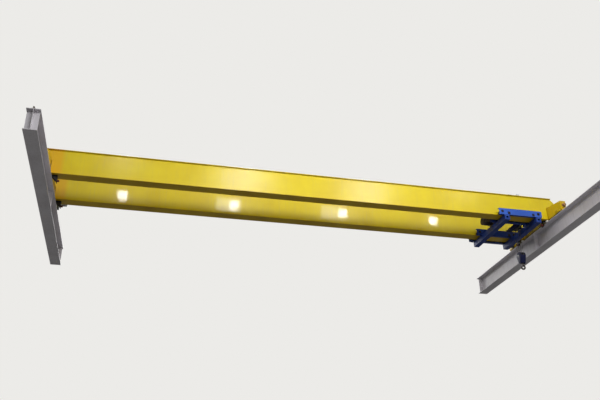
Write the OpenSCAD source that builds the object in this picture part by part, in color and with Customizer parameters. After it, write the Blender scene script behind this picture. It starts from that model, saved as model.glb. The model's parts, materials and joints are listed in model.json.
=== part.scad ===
// Overhead bridge crane: two box girders on end trucks, a trolley slung under the
// girders' lower flanges, and the two runway beams that the bridge rolls on.
// Origin: underside of the left runway beam, at its middle support, under the rail.
// X runs along the bridge from the left rail to the right one, Y runs along the
// runway, and Z is up. All sizes are in millimetres.

/* [Runway] */
// Distance between the two rails, centre to centre
rail_span = 26050; // [18000:50:32000]
// Length of one runway bay, from support to support
bay_len = 7000; // [6000:500:9000]
// Height of a runway beam
beam_h = 1000; // [800:50:1300]
// Width of a runway beam's flanges
beam_flange_w = 560; // [440:20:600]
// Thickness of a runway beam's flanges
beam_flange_t = 30; // [20:2:40]
// Thickness of a runway beam's web and stiffeners
beam_web_t = 16; // [10:2:24]
// Height of a rail
rail_h = 100; // [80:5:120]
// Width of a rail's head
rail_head_w = 66; // [56:2:76]
// Width of a rail's foot
rail_foot_w = 150; // [120:10:180]
// Bolt hole diameter in the runway beams' lower flanges
bolt_hole_d = 30; // [20:2:36]
// Bolt spacing across the runway beam
bolt_gap_x = 340; // [240:10:380]
// Bolt spacing along the runway beam
bolt_gap_y = 220; // [160:10:300]

/* [Bridge] */
// Depth of a girder over both flanges
girder_h = 1300; // [1000:50:1500]
// Width of a girder's flanges
girder_flange_w = 560; // [520:20:640]
// Thickness of a girder's flanges
girder_flange_t = 20; // [14:2:30]
// Width of a girder over its two webs
girder_box_w = 400; // [340:20:420]
// Thickness of a girder's webs and end plates
girder_web_t = 10; // [8:1:14]
// Distance between the two girders, centre to centre
girder_gauge = 2650; // [2500:50:3200]
// How far the girders run on past the rails' centres
girder_overrun = 400; // [320:20:500]
// Length of the slanted cut at a girder's upper end corners
end_cut_len = 240; // [80:10:280]
// Height of that slanted cut
end_cut_h = 300; // [200:10:450]
// Length of an end truck
truck_len = 5600; // [5400:100:6600]
// Width of an end truck
truck_w = 300; // [280:10:400]
// Height of an end truck between the girders
truck_h = 690; // [600:10:760]
// Height of an end truck at its ends
truck_end_h = 510; // [440:10:600]
// Gap between a girder's lower end and the end truck's side
truck_gap = 30; // [10:5:60]
// Thickness of an end truck's plates
truck_t = 12; // [8:1:16]
// Height of the end trucks' underside over the rails
truck_lift = 60; // [50:5:90]
// How far a girder's underside lies below the end trucks' underside
girder_drop = 30; // [0:5:50]
// Distance from an end truck's end to its wheel's axis
wheel_inset = 450; // [380:10:550]
// Diameter of a bridge wheel's tread
bridge_wheel_d = 400; // [360:20:460]
// Width of a bridge wheel's tread between its flanges
bridge_tread_w = 80; // [80:2:100]
// Thickness and height of a bridge wheel's flanges
bridge_wheel_rim = 20; // [14:1:24]
// Diameter of a bridge wheel's axle
bridge_axle_d = 90; // [70:5:110]
// Diameter of an end truck's buffers
truck_buffer_d = 200; // [140:10:260]
// Length of an end truck's buffers
truck_buffer_len = 150; // [100:10:200]

/* [Trolley] */
// Distance from the trolley's side beams to the right end truck at rest
trolley_park = 600; // [450:50:6000]
// Length of a side beam
side_len = 2480; // [2400:20:3000]
// Height of a side beam
side_h = 350; // [320:10:440]
// Width of a side beam's flanges
side_w = 150; // [120:10:160]
// Thickness of a side beam's web and flanges
side_t = 14; // [10:1:18]
// How far the side beams reach below the girders
side_drop = 60; // [40:5:160]
// Gap between a girder's flange edge and a side beam
side_gap = 100; // [80:5:120]
// Width and height of a cross beam
cross_w = 290; // [260:10:340]
// Wall thickness of a cross beam
cross_t = 10; // [8:1:14]
// Distance from the side beams' left ends to the left cross beam's centre
cross_in_left = 420; // [400:10:560]
// Distance from the side beams' right ends to the right cross beam's centre
cross_in_right = 230; // [180:10:300]
// Diameter of a cross beam's end hole
cross_hole_d = 130; // [80:10:200]
// Distance between the trolley's axles
trolley_base = 2100; // [1900:50:2200]
// Diameter of a trolley wheel's tread
trolley_wheel_d = 200; // [180:10:220]
// Width of a trolley wheel's tread
trolley_tread_w = 70; // [50:5:75]
// Diameter of a trolley wheel's axle
trolley_axle_d = 60; // [45:5:70]

/* [Hoist] */
// Distance from the bridge's middle to the drum's axis
hoist_y = -150; // [-200:10:0]
// Height of the drum's axis over the girders' underside
drum_rise = 620; // [600:10:680]
// Diameter of the drum's barrel
drum_d = 460; // [420:10:480]
// Wall thickness of the drum's barrel
drum_t = 20; // [14:1:30]
// Diameter of the hoist rope
rope_d = 20; // [14:1:22]
// Length of the hoist's gearbox along the drum
gearbox_len = 350; // [280:10:380]
// Diameter of the hoist motor
motor_d = 430; // [320:10:440]
// Length of the hoist motor
motor_len = 500; // [400:10:560]
// Distance from the right cross beam to the hook's axis
hook_in = 175; // [165:5:220]
// Diameter of the block's sheaves at the rope's centre
sheave_d = 380; // [340:10:400]
// Distance between the two sheaves of the hook block
sheave_gap = 120; // [100:5:130]
// Height of the block's sheave pin below the girders, with the hook at rest
hook_rest = 1610; // [1400:10:3000]
// Width of the hook block over its cheeks
block_w = 300; // [280:10:320]
// Distance from the sheave pin down to the crosshead
crosshead_drop = 330; // [320:10:380]
// Inner diameter of the hook's bowl
hook_bowl_d = 140; // [110:10:160]
// Thickness of the hook's bowl
hook_t = 90; // [70:5:100]

/* [Hidden] */
$fn = 64;

// Clearances: a rolling wheel over what it rolls on, a shaft in its bore
run_gap = 0.3;
shaft_gap = 0.1;
// Overshoot of a cut past the face that it opens
cut = 1;

// Levels
rail_top = beam_h + rail_h;
truck_z = rail_top + truck_lift;
truck_top = truck_z + truck_h;
girder_z = truck_z - girder_drop;
girder_top = girder_z + girder_h;
lip_z = girder_z + girder_flange_t;
bridge_axle_z = rail_top + run_gap + bridge_wheel_d / 2;
trolley_axle_z = lip_z + run_gap + trolley_wheel_d / 2;
side_z = girder_z - side_drop;
cross_z = side_z - cross_w;
drum_z = girder_z + drum_rise;

// Places along the bridge
truck_x0 = truck_w / 2;
truck_x1 = rail_span - truck_w / 2;
girder_x0 = truck_x0 + truck_gap;
girder_x1 = truck_x1 - truck_gap;
side_x1 = truck_x1 - trolley_park;
side_x0 = side_x1 - side_len;
trolley_x = (side_x0 + side_x1) / 2;
cross_left_x = side_x0 + cross_in_left;
cross_right_x = side_x1 - cross_in_right;
hook_x = cross_right_x - cross_w / 2 - hook_in;

// Places along the runway
girder_y = girder_gauge / 2;
wheel_y = truck_len / 2 - wheel_inset;
support_inset = 170;
bolt_lines = [-bay_len + support_inset, 0, bay_len - support_inset];

// Runway

module rail_profile() {
  foot_t = rail_h * 0.12;
  shoulder_t = rail_h * 0.28;
  head_t = rail_h * 0.4;
  neck_w = rail_head_w * 0.45;
  f = rail_foot_w / 2;
  n = neck_w / 2;
  h = rail_head_w / 2;
  polygon([
    [-f, 0], [f, 0], [f, foot_t], [n, shoulder_t], [n, rail_h - head_t],
    [h, rail_h - head_t * 0.75], [h, rail_h], [-h, rail_h],
    [-h, rail_h - head_t * 0.75], [-n, rail_h - head_t], [-n, shoulder_t], [-f, foot_t]
  ]);
}

module rail(x) {
  color("dimgray")
    translate([x, bay_len, beam_h])
      rotate([90, 0, 0])
        linear_extrude(2 * bay_len)
          rail_profile();
}

module beam_stiffener(y) {
  translate([-beam_flange_w / 2 + beam_flange_t, y - beam_web_t / 2, beam_flange_t])
    cube([beam_flange_w - 2 * beam_flange_t, beam_web_t, beam_h - 2 * beam_flange_t]);
}

module runway_beam(x) {
  color("lightgray")
    translate([x, 0, 0])
      difference() {
        union() {
          for (z = [0, beam_h - beam_flange_t])
            translate([-beam_flange_w / 2, -bay_len, z])
              cube([beam_flange_w, 2 * bay_len, beam_flange_t]);
          translate([-beam_web_t / 2, -bay_len, 0])
            cube([beam_web_t, 2 * bay_len, beam_h]);
          for (y = bolt_lines) beam_stiffener(y);
        }
        for (y = bolt_lines, dx = [-1, 1], dy = [-1, 1])
          translate([dx * bolt_gap_x / 2, y + dy * bolt_gap_y / 2, -cut])
            cylinder(h = beam_flange_t + 2 * cut, d = bolt_hole_d, $fn = 32);
      }
}

module left_runway_beam() { runway_beam(0); }
module right_runway_beam() { runway_beam(rail_span); }
module left_rail() { rail(0); }
module right_rail() { rail(rail_span); }

// Girders

web_top = girder_top - girder_flange_t;
girder_outline = [
  [girder_x0, lip_z], [girder_x1, lip_z], [girder_x1, truck_top],
  [rail_span + girder_overrun, truck_top],
  [rail_span + girder_overrun, girder_top - end_cut_h],
  [rail_span + girder_overrun - end_cut_len, web_top],
  [-girder_overrun + end_cut_len, web_top],
  [-girder_overrun, girder_top - end_cut_h],
  [-girder_overrun, truck_top], [girder_x0, truck_top]
];

hollow_x0 = 2 * girder_web_t - girder_overrun;
hollow_x1 = rail_span - hollow_x0;
hollow_step = truck_top + girder_web_t;
girder_hollow = [
  [girder_x0 + girder_web_t, lip_z - cut], [girder_x1 - girder_web_t, lip_z - cut],
  [girder_x1 - girder_web_t, hollow_step], [hollow_x1, hollow_step],
  [hollow_x1, girder_top - end_cut_h], [hollow_x1 - end_cut_len, web_top],
  [hollow_x1 - end_cut_len, web_top + cut], [hollow_x0 + end_cut_len, web_top + cut],
  [hollow_x0 + end_cut_len, web_top], [hollow_x0, girder_top - end_cut_h],
  [hollow_x0, hollow_step], [girder_x0 + girder_web_t, hollow_step]
];

module girder_webs(side) {
  color("gold")
    translate([0, side * girder_y, 0])
      difference() {
        translate([0, girder_box_w / 2, 0])
          rotate([90, 0, 0])
            linear_extrude(girder_box_w)
              polygon(girder_outline);
        translate([0, girder_box_w / 2 - girder_web_t, 0])
          rotate([90, 0, 0])
            linear_extrude(girder_box_w - 2 * girder_web_t)
              polygon(girder_hollow);
      }
}

module top_flange(side) {
  x0 = -girder_overrun + end_cut_len;
  color("gold")
    translate([x0, side * girder_y - girder_flange_w / 2, girder_top - girder_flange_t])
      cube([rail_span - 2 * x0, girder_flange_w, girder_flange_t]);
}

module bottom_flange(side) {
  color("goldenrod")
    translate([girder_x0, side * girder_y - girder_flange_w / 2, girder_z])
      cube([girder_x1 - girder_x0, girder_flange_w, girder_flange_t]);
}

module near_girder_webs() { girder_webs(-1); }
module far_girder_webs() { girder_webs(1); }
module near_top_flange() { top_flange(-1); }
module far_top_flange() { top_flange(1); }
module near_bottom_flange() { bottom_flange(-1); }
module far_bottom_flange() { bottom_flange(1); }

// End trucks, with their wheels, buffers and drives

wheel_slot = bridge_wheel_d + 4 * bridge_wheel_rim;

// Side view of a truck, which gets lower from the girders out to its ends
module truck_side(inset) {
  y_end = truck_len / 2 - inset;
  y_high = girder_y + girder_box_w / 2;
  low = truck_z + inset;
  polygon([
    [-y_end, low], [y_end, low], [y_end, truck_z + truck_end_h - inset],
    [y_high, truck_top - inset], [-y_high, truck_top - inset],
    [-y_end, truck_z + truck_end_h - inset]
  ]);
}

module end_truck(x) {
  color("gold")
    translate([x, 0, 0])
      difference() {
        translate([-truck_w / 2, 0, 0])
          rotate([90, 0, 90]) linear_extrude(truck_w) truck_side(0);
        translate([-truck_w / 2 + truck_t, 0, 0])
          rotate([90, 0, 90]) linear_extrude(truck_w - 2 * truck_t) truck_side(truck_t);
        for (s = [-1, 1]) {
          translate([-truck_w / 2 + truck_t, s * wheel_y - wheel_slot / 2, truck_z - cut])
            cube([truck_w - 2 * truck_t, wheel_slot, truck_t + 2 * cut]);
          translate([-truck_w / 2 - cut, s * wheel_y, bridge_axle_z])
            rotate([0, 90, 0])
              cylinder(h = truck_w + 2 * cut, r = bridge_axle_d / 2 + shaft_gap);
        }
      }
}

axle_stub = 30;

module bridge_wheel(x, side) {
  tread_r = bridge_wheel_d / 2;
  half = bridge_tread_w / 2;
  color("dimgray")
    translate([x, side * wheel_y, bridge_axle_z])
      rotate([0, 90, 0]) {
        rotate_extrude()
          polygon([
            [0, -truck_w / 2 - axle_stub], [bridge_axle_d / 2, -truck_w / 2 - axle_stub],
            [bridge_axle_d / 2, -half - 2 * bridge_wheel_rim],
            [bridge_axle_d * 0.9, -half - 2 * bridge_wheel_rim],
            [bridge_axle_d * 0.9, -half], [tread_r * 0.8, -half],
            [tread_r * 0.85, -half - bridge_wheel_rim],
            [tread_r + bridge_wheel_rim, -half - bridge_wheel_rim * 0.7],
            [tread_r + bridge_wheel_rim, -half - bridge_wheel_rim * 0.3],
            [tread_r, -half], [tread_r, half],
            [tread_r + bridge_wheel_rim, half + bridge_wheel_rim * 0.3],
            [tread_r + bridge_wheel_rim, half + bridge_wheel_rim * 0.7],
            [tread_r * 0.85, half + bridge_wheel_rim],
            [tread_r * 0.8, half], [bridge_axle_d * 0.9, half],
            [bridge_axle_d * 0.9, half + 2 * bridge_wheel_rim],
            [bridge_axle_d / 2, half + 2 * bridge_wheel_rim],
            [bridge_axle_d / 2, truck_w / 2 + axle_stub], [0, truck_w / 2 + axle_stub]
          ]);
      }
}

module truck_buffer(x, side) {
  plate_t = 20;
  translate([x, side * truck_len / 2, truck_z + truck_end_h / 2])
    rotate([-side * 90, 0, 0]) {
      cylinder(h = plate_t, d = truck_buffer_d * 1.3, $fn = 8);
      cylinder(h = truck_buffer_len * 0.85, d = truck_buffer_d);
      translate([0, 0, truck_buffer_len * 0.85])
        cylinder(h = truck_buffer_len * 0.15, d1 = truck_buffer_d, d2 = truck_buffer_d * 0.8);
    }
}

module truck_buffers(x) {
  color("saddlebrown")
    for (s = [-1, 1]) truck_buffer(x, s);
}

module left_end_truck() { end_truck(0); }
module right_end_truck() { end_truck(rail_span); }
module left_truck_buffers() { truck_buffers(0); }
module right_truck_buffers() { truck_buffers(rail_span); }
module left_front_wheel() { bridge_wheel(0, -1); }
module right_front_wheel() { bridge_wheel(rail_span, -1); }
module left_back_wheel() { bridge_wheel(0, 1); }
module right_back_wheel() { bridge_wheel(rail_span, 1); }

// A bridge drive sits on the inner face of each truck, at its back wheel
bridge_box_len = 160;
bridge_motor_d = 220;
bridge_motor_len = 380;
bridge_motor_rise = 200;
bridge_case_low_r = 150;
bridge_case_high_r = 125;
bore_gap = 5;
bridge_bore_room = 10;
trolley_bore_room = 5;

module drive_box(len, r_low, r_high, rise, bore_r, bore_len) {
  difference() {
    union() {
      cylinder(h = len, r = r_low);
      translate([0, rise, 0]) cylinder(h = len, r = r_high);
      translate([-r_high, 0, 0]) cube([2 * r_high, rise, len]);
    }
    translate([0, 0, -cut]) cylinder(h = bore_len + cut, r = bore_r);
  }
}

module finned_motor(len, d) {
  fins = 7;
  pitch = len * 0.6 / fins;
  cylinder(h = len * 0.95, d = d * 0.86);
  for (i = [0:fins - 1])
    translate([0, 0, len * 0.1 + i * pitch])
      cylinder(h = pitch * 0.5, d = d);
  translate([0, 0, len * 0.76]) cylinder(h = len * 0.24, d = d * 0.96);
}

module at_bridge_drive(side) {
  translate([side > 0 ? truck_x1 : truck_x0, wheel_y, bridge_axle_z])
    rotate([90, 0, side > 0 ? -90 : 90])
      children();
}

module bridge_gearboxes() {
  color("darkslategray")
    for (s = [-1, 1]) at_bridge_drive(s)
      drive_box(bridge_box_len, bridge_case_low_r, bridge_case_high_r, bridge_motor_rise,
        bridge_axle_d / 2 + bore_gap, axle_stub + bridge_bore_room);
}

module bridge_motors() {
  color("slategray")
    for (s = [-1, 1]) at_bridge_drive(s)
      translate([0, bridge_motor_rise, bridge_box_len])
        finned_motor(bridge_motor_len, bridge_motor_d);
}

// Trolley stops under the girders' ends, with rubber buffers towards the trolley.
// The right ones are shorter, because the trolley parks close to them.
stop_w = 240;
stop_h = 330;
stop_t = 30;
stop_buffer_d = 120;
stop_buffer_lift = 20;
left_stop_len = 300;
right_stop_len = 150;
left_stop_inset = 40;
right_stop_inset = 120;
left_stop_buffer_len = 100;
right_stop_buffer_len = 120;

function stop_len(end) = end > 0 ? right_stop_len : left_stop_len;
function stop_inset(end) = end > 0 ? right_stop_inset : left_stop_inset;
function stop_buffer_len(end) = end > 0 ? right_stop_buffer_len : left_stop_buffer_len;

// Puts children at a girder's end, under its flange, with +X towards the trolley
module at_girder_end(side, end, inset) {
  translate([end > 0 ? girder_x1 - inset : girder_x0 + inset, side * girder_y, girder_z])
    rotate([0, 0, end > 0 ? 180 : 0])
      children();
}

module trolley_stop(side, end) {
  len = stop_len(end);
  at_girder_end(side, end, stop_inset(end)) {
    translate([0, -stop_w / 2, -stop_t]) cube([len, stop_w, stop_t]);
    translate([len - stop_t, -stop_w / 2, -stop_h]) cube([stop_t, stop_w, stop_h]);
    for (dy = [-1, 1])
      translate([0, dy * stop_w * 0.35 + stop_t / 2, 0])
        rotate([90, 0, 0])
          linear_extrude(stop_t)
            polygon([[0, -stop_t], [len, -stop_t], [len, -stop_h]]);
  }
}

module stop_buffer(side, end) {
  len = stop_buffer_len(end);
  at_girder_end(side, end, stop_inset(end) + stop_len(end))
    translate([0, 0, -stop_h + stop_buffer_d / 2 + stop_buffer_lift])
      rotate([0, 90, 0]) {
        cylinder(h = len * 0.6, d = stop_buffer_d);
        translate([0, 0, len * 0.6])
          cylinder(h = len * 0.4, d1 = stop_buffer_d, d2 = stop_buffer_d * 0.6);
      }
}

module left_trolley_stops() {
  color("gold") for (s = [-1, 1]) trolley_stop(s, -1);
}

module right_trolley_stops() {
  color("gold") for (s = [-1, 1]) trolley_stop(s, 1);
}

module trolley_stop_buffers() {
  color("brown") for (s = [-1, 1], e = [-1, 1]) stop_buffer(s, e);
}

// Trolley frame. Each side beam is a channel with its web away from the girder.
boss_d = 130;
boss_len = 70;

function side_web_y(girder, outer) =
  girder * girder_y + (outer ? girder : -girder) * (girder_flange_w / 2 + side_gap + side_w);

module at_side_beam(girder, outer) {
  away = outer ? girder : -girder;
  translate([0, side_web_y(girder, outer), 0])
    mirror([0, away > 0 ? 1 : 0, 0])
      children();
}

module side_beam(girder, outer) {
  color("royalblue")
    at_side_beam(girder, outer)
      difference() {
        union() {
          translate([side_x0, 0, side_z]) cube([side_len, side_t, side_h]);
          for (z = [side_z, side_z + side_h - side_t])
            translate([side_x0, 0, z]) cube([side_len, side_w, side_t]);
          for (s = [-1, 1])
            translate([trolley_x + s * trolley_base / 2, side_t, trolley_axle_z])
              rotate([-90, 0, 0])
                cylinder(h = boss_len, d = boss_d);
        }
        for (s = [-1, 1])
          translate([trolley_x + s * trolley_base / 2, -cut, trolley_axle_z])
            rotate([-90, 0, 0])
              cylinder(h = boss_len + side_t + 2 * cut, r = trolley_axle_d / 2 + shaft_gap);
      }
}

module cross_beam(x) {
  len = 2 * side_web_y(1, true);
  color("mediumblue")
    translate([x, 0, cross_z + cross_w / 2])
      difference() {
        cube([cross_w, len, cross_w], center = true);
        cube([cross_w - 2 * cross_t, len - 2 * cross_t, cross_w - 2 * cross_t], center = true);
        rotate([90, 0, 0])
          cylinder(h = len + 2 * cut, d = cross_hole_d, center = true);
      }
}

module near_outer_side_beam() { side_beam(-1, true); }
module near_inner_side_beam() { side_beam(-1, false); }
module far_inner_side_beam() { side_beam(1, false); }
module far_outer_side_beam() { side_beam(1, true); }
module left_cross_beam() { cross_beam(cross_left_x); }
module right_cross_beam() { cross_beam(cross_right_x); }

// Trolley wheels, which run on the girders' lower flanges from both sides
edge_gap = 5;
trolley_rim = 16;
keeper_t = 20;

module trolley_wheel(girder, outer, x) {
  wheel_at = side_gap + side_w - edge_gap - trolley_rim;
  tread_r = trolley_wheel_d / 2;
  color("dimgray")
    at_side_beam(girder, outer)
      translate([x, 0, trolley_axle_z])
        rotate([-90, 0, 0])
          rotate_extrude()
            polygon([
              [0, -keeper_t], [trolley_axle_d * 0.7, -keeper_t], [trolley_axle_d * 0.7, -run_gap],
              [trolley_axle_d / 2, -run_gap], [trolley_axle_d / 2, wheel_at],
              [tread_r * 0.8, wheel_at], [tread_r + trolley_rim, wheel_at + trolley_rim * 0.3],
              [tread_r + trolley_rim, wheel_at + trolley_rim * 0.6],
              [tread_r, wheel_at + trolley_rim], [tread_r, wheel_at + trolley_rim + trolley_tread_w],
              [trolley_axle_d / 2, wheel_at + trolley_rim + trolley_tread_w],
              [trolley_axle_d / 2, wheel_at + trolley_rim + trolley_tread_w + 5],
              [0, wheel_at + trolley_rim + trolley_tread_w + 5]
            ]);
}

module trolley_wheels(girder, s) {
  x = trolley_x + s * trolley_base / 2;
  trolley_wheel(girder, true, x);
  trolley_wheel(girder, false, x);
}

module near_left_trolley_wheels() { trolley_wheels(-1, -1); }
module far_left_trolley_wheels() { trolley_wheels(1, -1); }
module near_right_trolley_wheels() { trolley_wheels(-1, 1); }
module far_right_trolley_wheels() { trolley_wheels(1, 1); }

// A trolley drive sits on the back face of each girder's back side beam
trolley_box_len = 110;
trolley_motor_d = 150;
trolley_motor_len = 165;
trolley_motor_rise = 140;
trolley_case_low_r = 85;
trolley_case_high_r = 80;

module at_trolley_drive(girder) {
  y = girder > 0 ? side_web_y(1, true) : side_web_y(-1, false);
  translate([trolley_x - trolley_base / 2, y, trolley_axle_z])
    rotate([-90, -90, 0])
      children();
}

module trolley_gearboxes() {
  color("darkslategray")
    for (g = [-1, 1]) at_trolley_drive(g)
      drive_box(trolley_box_len, trolley_case_low_r, trolley_case_high_r, trolley_motor_rise,
        trolley_axle_d * 0.7 + bore_gap, keeper_t + trolley_bore_room);
}

module trolley_motors() {
  color("silver")
    for (g = [-1, 1]) at_trolley_drive(g)
      translate([0, trolley_motor_rise, trolley_box_len])
        finned_motor(trolley_motor_len, trolley_motor_d);
}

// Hoist: gearbox and motor over the left cross beam, stand over the right one
box_x0 = cross_left_x - 60;
box_x1 = box_x0 + gearbox_len;
drum_gap = 10;
drum_x0 = box_x1 + drum_gap;
stand_x = cross_right_x - 80;
stand_t = 40;
drum_x1 = stand_x - 90;
shaft_d = 110;
box_r = 290;
motor_z = girder_z + 290;
foot_w = 620;
foot_t = 40;

module hoist_gearbox() {
  color("dimgray")
    difference() {
      union() {
        translate([box_x0, hoist_y, drum_z])
          rotate([0, 90, 0]) cylinder(h = gearbox_len, r = box_r);
        translate([box_x0, hoist_y, motor_z])
          rotate([0, 90, 0]) cylinder(h = gearbox_len * 0.8, r = motor_d * 0.56);
        translate([box_x0, hoist_y - box_r * 0.8, motor_z])
          cube([gearbox_len * 0.8, box_r * 1.6, drum_z - motor_z]);
        translate([cross_left_x - cross_w / 2 + 20, hoist_y - foot_w / 2, side_z])
          cube([cross_w - 40, foot_w, foot_t]);
        translate([box_x0 + 20, hoist_y - motor_d * 0.4, side_z])
          cube([cross_w / 2 + 20, motor_d * 0.8, motor_z - side_z]);
      }
      translate([box_x1 - 120, hoist_y, drum_z])
        rotate([0, 90, 0]) cylinder(h = 120 + cut, r = shaft_d / 2 + shaft_gap);
    }
}

module hoist_motor() {
  color("slategray")
    translate([box_x0, hoist_y, motor_z])
      rotate([0, -90, 0])
        finned_motor(motor_len, motor_d);
}

module hoist_drum() {
  rim = rope_d * 1.6;
  r = drum_d / 2;
  x1 = drum_x1 - drum_x0;
  disc_t = 30;
  color("sienna")
    translate([drum_x0, hoist_y, drum_z])
      rotate([0, 90, 0])
        rotate_extrude()
          polygon([
            [0, -drum_gap - 110], [shaft_d / 2, -drum_gap - 110], [shaft_d / 2, 0],
            [r + rim, 0], [r + rim, disc_t], [r, disc_t], [r, x1 - disc_t],
            [r + rim, x1 - disc_t], [r + rim, x1], [shaft_d / 2, x1],
            [shaft_d / 2, stand_x + stand_t + 60 - drum_x0], [0, stand_x + stand_t + 60 - drum_x0],
            [0, x1 - disc_t], [r - drum_t, x1 - disc_t], [r - drum_t, disc_t], [0, disc_t]
          ]);
}

// The rope: its laid turns on the drum, its lead down beside the return sheave, and
// four falls to the hook block
lead_dx = sheave_gap / 2;
lead_x = hook_x + lead_dx;
hook_y = hoist_y + (drum_d + rope_d) / 2 - sheave_d / 2;
return_z = girder_z + 120;
pin_z = girder_z - hook_rest;

module drum_rope() {
  first_turn_x = drum_x0 + 60;
  wound_len = lead_x - rope_d / 2 - run_gap - first_turn_x;
  color("gray")
    translate([first_turn_x, hoist_y, drum_z])
      rotate([0, 90, 0])
        difference() {
          cylinder(h = wound_len, r = drum_d / 2 + rope_d);
          translate([0, 0, -cut]) cylinder(h = wound_len + 2 * cut, r = drum_d / 2);
        }
}

module lead_rope() {
  color("gray")
    translate([lead_x, hoist_y + (drum_d + rope_d) / 2, return_z])
      cylinder(h = drum_z - return_z, d = rope_d, $fn = 16);
}

module hoist_ropes() {
  color("gray")
    for (sx = [-1, 1], sy = [-1, 1])
      translate([hook_x + sx * lead_dx, hook_y + sy * sheave_d / 2, pin_z])
        cylinder(h = return_z - pin_z, d = rope_d, $fn = 16);
}

// One sheave about the Z axis: hub, thin web and grooved rim
module sheave(pitch_d, hub_d, hub_len, bore_d) {
  groove_r = pitch_d / 2 - rope_d / 2 - run_gap;
  rim_r = groove_r + rope_d * 1.4;
  half = rope_d / 2 + run_gap;
  side = half + 12;
  rotate_extrude()
    polygon([
      [bore_d / 2, -hub_len / 2], [hub_d / 2, -hub_len / 2], [hub_d / 2, -10],
      [groove_r - 30, -10], [groove_r - 15, -side], [rim_r, -side], [rim_r, -side + 3],
      [groove_r, -half], [groove_r, half], [rim_r, side - 3], [rim_r, side],
      [groove_r - 15, side], [groove_r - 30, 10], [hub_d / 2, 10], [hub_d / 2, hub_len / 2],
      [bore_d / 2, hub_len / 2]
    ]);
}

return_pitch = sqrt(sheave_gap * sheave_gap + sheave_d * sheave_d);
return_skew = atan2(sheave_gap, sheave_d);
pin_d = 80;

module at_return_sheave() {
  translate([hook_x, hook_y, return_z])
    rotate([0, 0, return_skew])
      rotate([0, 90, 0])
        children();
}

module return_sheave() {
  color("dimgray")
    at_return_sheave() sheave(return_pitch, 140, 90, pin_d);
}

// Half the size of the box that trims the pin at the stand
pin_trim = 400;

module sheave_pin() {
  reach = (stand_x - hook_x) / cos(return_skew);
  color("gray")
    intersection() {
      at_return_sheave() {
        translate([0, 0, -75]) cylinder(h = reach + 100, d = pin_d);
        translate([0, 0, -75]) cylinder(h = 30, d = pin_d * 1.5);
        translate([0, 0, 45]) cylinder(h = reach, d = pin_d * 1.5);
      }
      translate([hook_x - pin_trim, hook_y - pin_trim, return_z - pin_trim])
        cube([stand_x - hook_x + pin_trim, 2 * pin_trim, 2 * pin_trim]);
    }
}

// End stand of the hoist: plate with a round opening, drum bearing, foot and ribs
opening_d = 260;
opening_y = hoist_y - 160;
opening_z = girder_z + 115;
stand_r = 160;
stand_reach = 520;
stand_y0 = hoist_y - stand_reach;
stand_w = 920;
bearing_r = 110;
bearing_len = 60;
rib_t = 20;
rib_inset = 40;

module stand_plate() {
  difference() {
    union() {
      polygon([
        [stand_y0, side_z], [stand_y0 + stand_w, side_z], [hoist_y + stand_r, drum_z],
        [hoist_y - stand_r, drum_z]
      ]);
      translate([hoist_y, drum_z]) circle(r = stand_r);
    }
    translate([opening_y, opening_z]) circle(d = opening_d);
    translate([hoist_y, drum_z]) circle(r = shaft_d / 2 + shaft_gap);
  }
}

module hoist_stand() {
  color("navy") {
    difference() {
      union() {
        translate([stand_x, 0, 0])
          rotate([90, 0, 90])
            linear_extrude(stand_t) stand_plate();
        translate([stand_x - 50, stand_y0, side_z]) cube([cross_w - 50, stand_w, foot_t]);
        translate([stand_x - bearing_len / 2, hoist_y, drum_z])
          rotate([0, 90, 0]) cylinder(h = stand_t + bearing_len, r = bearing_r);
      }
      translate([stand_x - bearing_len / 2 - cut, hoist_y, drum_z])
        rotate([0, 90, 0])
          cylinder(h = stand_t + bearing_len + 2 * cut, r = shaft_d / 2 + shaft_gap);
    }
    for (y = [stand_y0 + rib_inset, stand_y0 + stand_w - rib_inset - rib_t])
      translate([stand_x + stand_t, y + rib_t, side_z + foot_t])
        rotate([90, 0, 0])
          linear_extrude(rib_t)
            polygon([[0, 0], [150, 0], [0, 220]]);
  }
}

// Rope anchor: arm from the stand and the socket that holds the rope's dead end
arm_w = 80;
arm_h = 50;

module rope_anchor() {
  anchor_x = hook_x - lead_dx;
  anchor_y = hook_y - sheave_d / 2;
  arm_z = opening_z + opening_d / 2 + 45;
  color("gray") {
    translate([anchor_x - 50, anchor_y - arm_w / 2, arm_z])
      cube([stand_x - anchor_x + 50, arm_w, arm_h]);
    translate([anchor_x, anchor_y, return_z])
      cylinder(h = arm_z - return_z, d = rope_d * 2.4);
  }
}

// Hook block

function arc(z, r, from, to, steps) =
  [for (i = [0:steps]) let (a = from + (to - from) * i / steps) [r * cos(a), z + r * sin(a)]];

// A large arc about the sheave pin and a small one about the crosshead, joined by
// their common tangents
module block_outline(grow) {
  r_top = sheave_d / 2 + 40 + grow;
  r_low = 110 + grow;
  tilt = asin((r_top - r_low) / crosshead_drop);
  polygon(concat(
    arc(0, r_top, -tilt, 180 + tilt, 32),
    arc(-crosshead_drop, r_low, 180 + tilt, 360 - tilt, 14)));
}

module at_block() {
  translate([hook_x, hook_y, pin_z]) rotate([90, 0, 90]) children();
}

cheek_t = 20;
shell_t = 12;
pin_hole = 90;
crosshead_w = 130;
crosshead_h = 110;

module block_housing() {
  color("midnightblue")
    at_block()
      difference() {
        translate([0, 0, -block_w / 2]) linear_extrude(block_w) block_outline(0);
        translate([0, 0, -block_w / 2 + cheek_t])
          linear_extrude(block_w - 2 * cheek_t) block_outline(-shell_t);
        for (s = [-1, 1])
          translate([s * (sheave_d / 2 + 10) - 50, 0, -block_w / 2 + cheek_t + 15])
            cube([100, sheave_d, block_w - 2 * cheek_t - 30]);
        translate([-80, -crosshead_drop - 200, -70]) cube([160, 140, 140]);
        cylinder(h = block_w + 2 * cut, d = pin_hole, center = true);
      }
}

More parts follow.
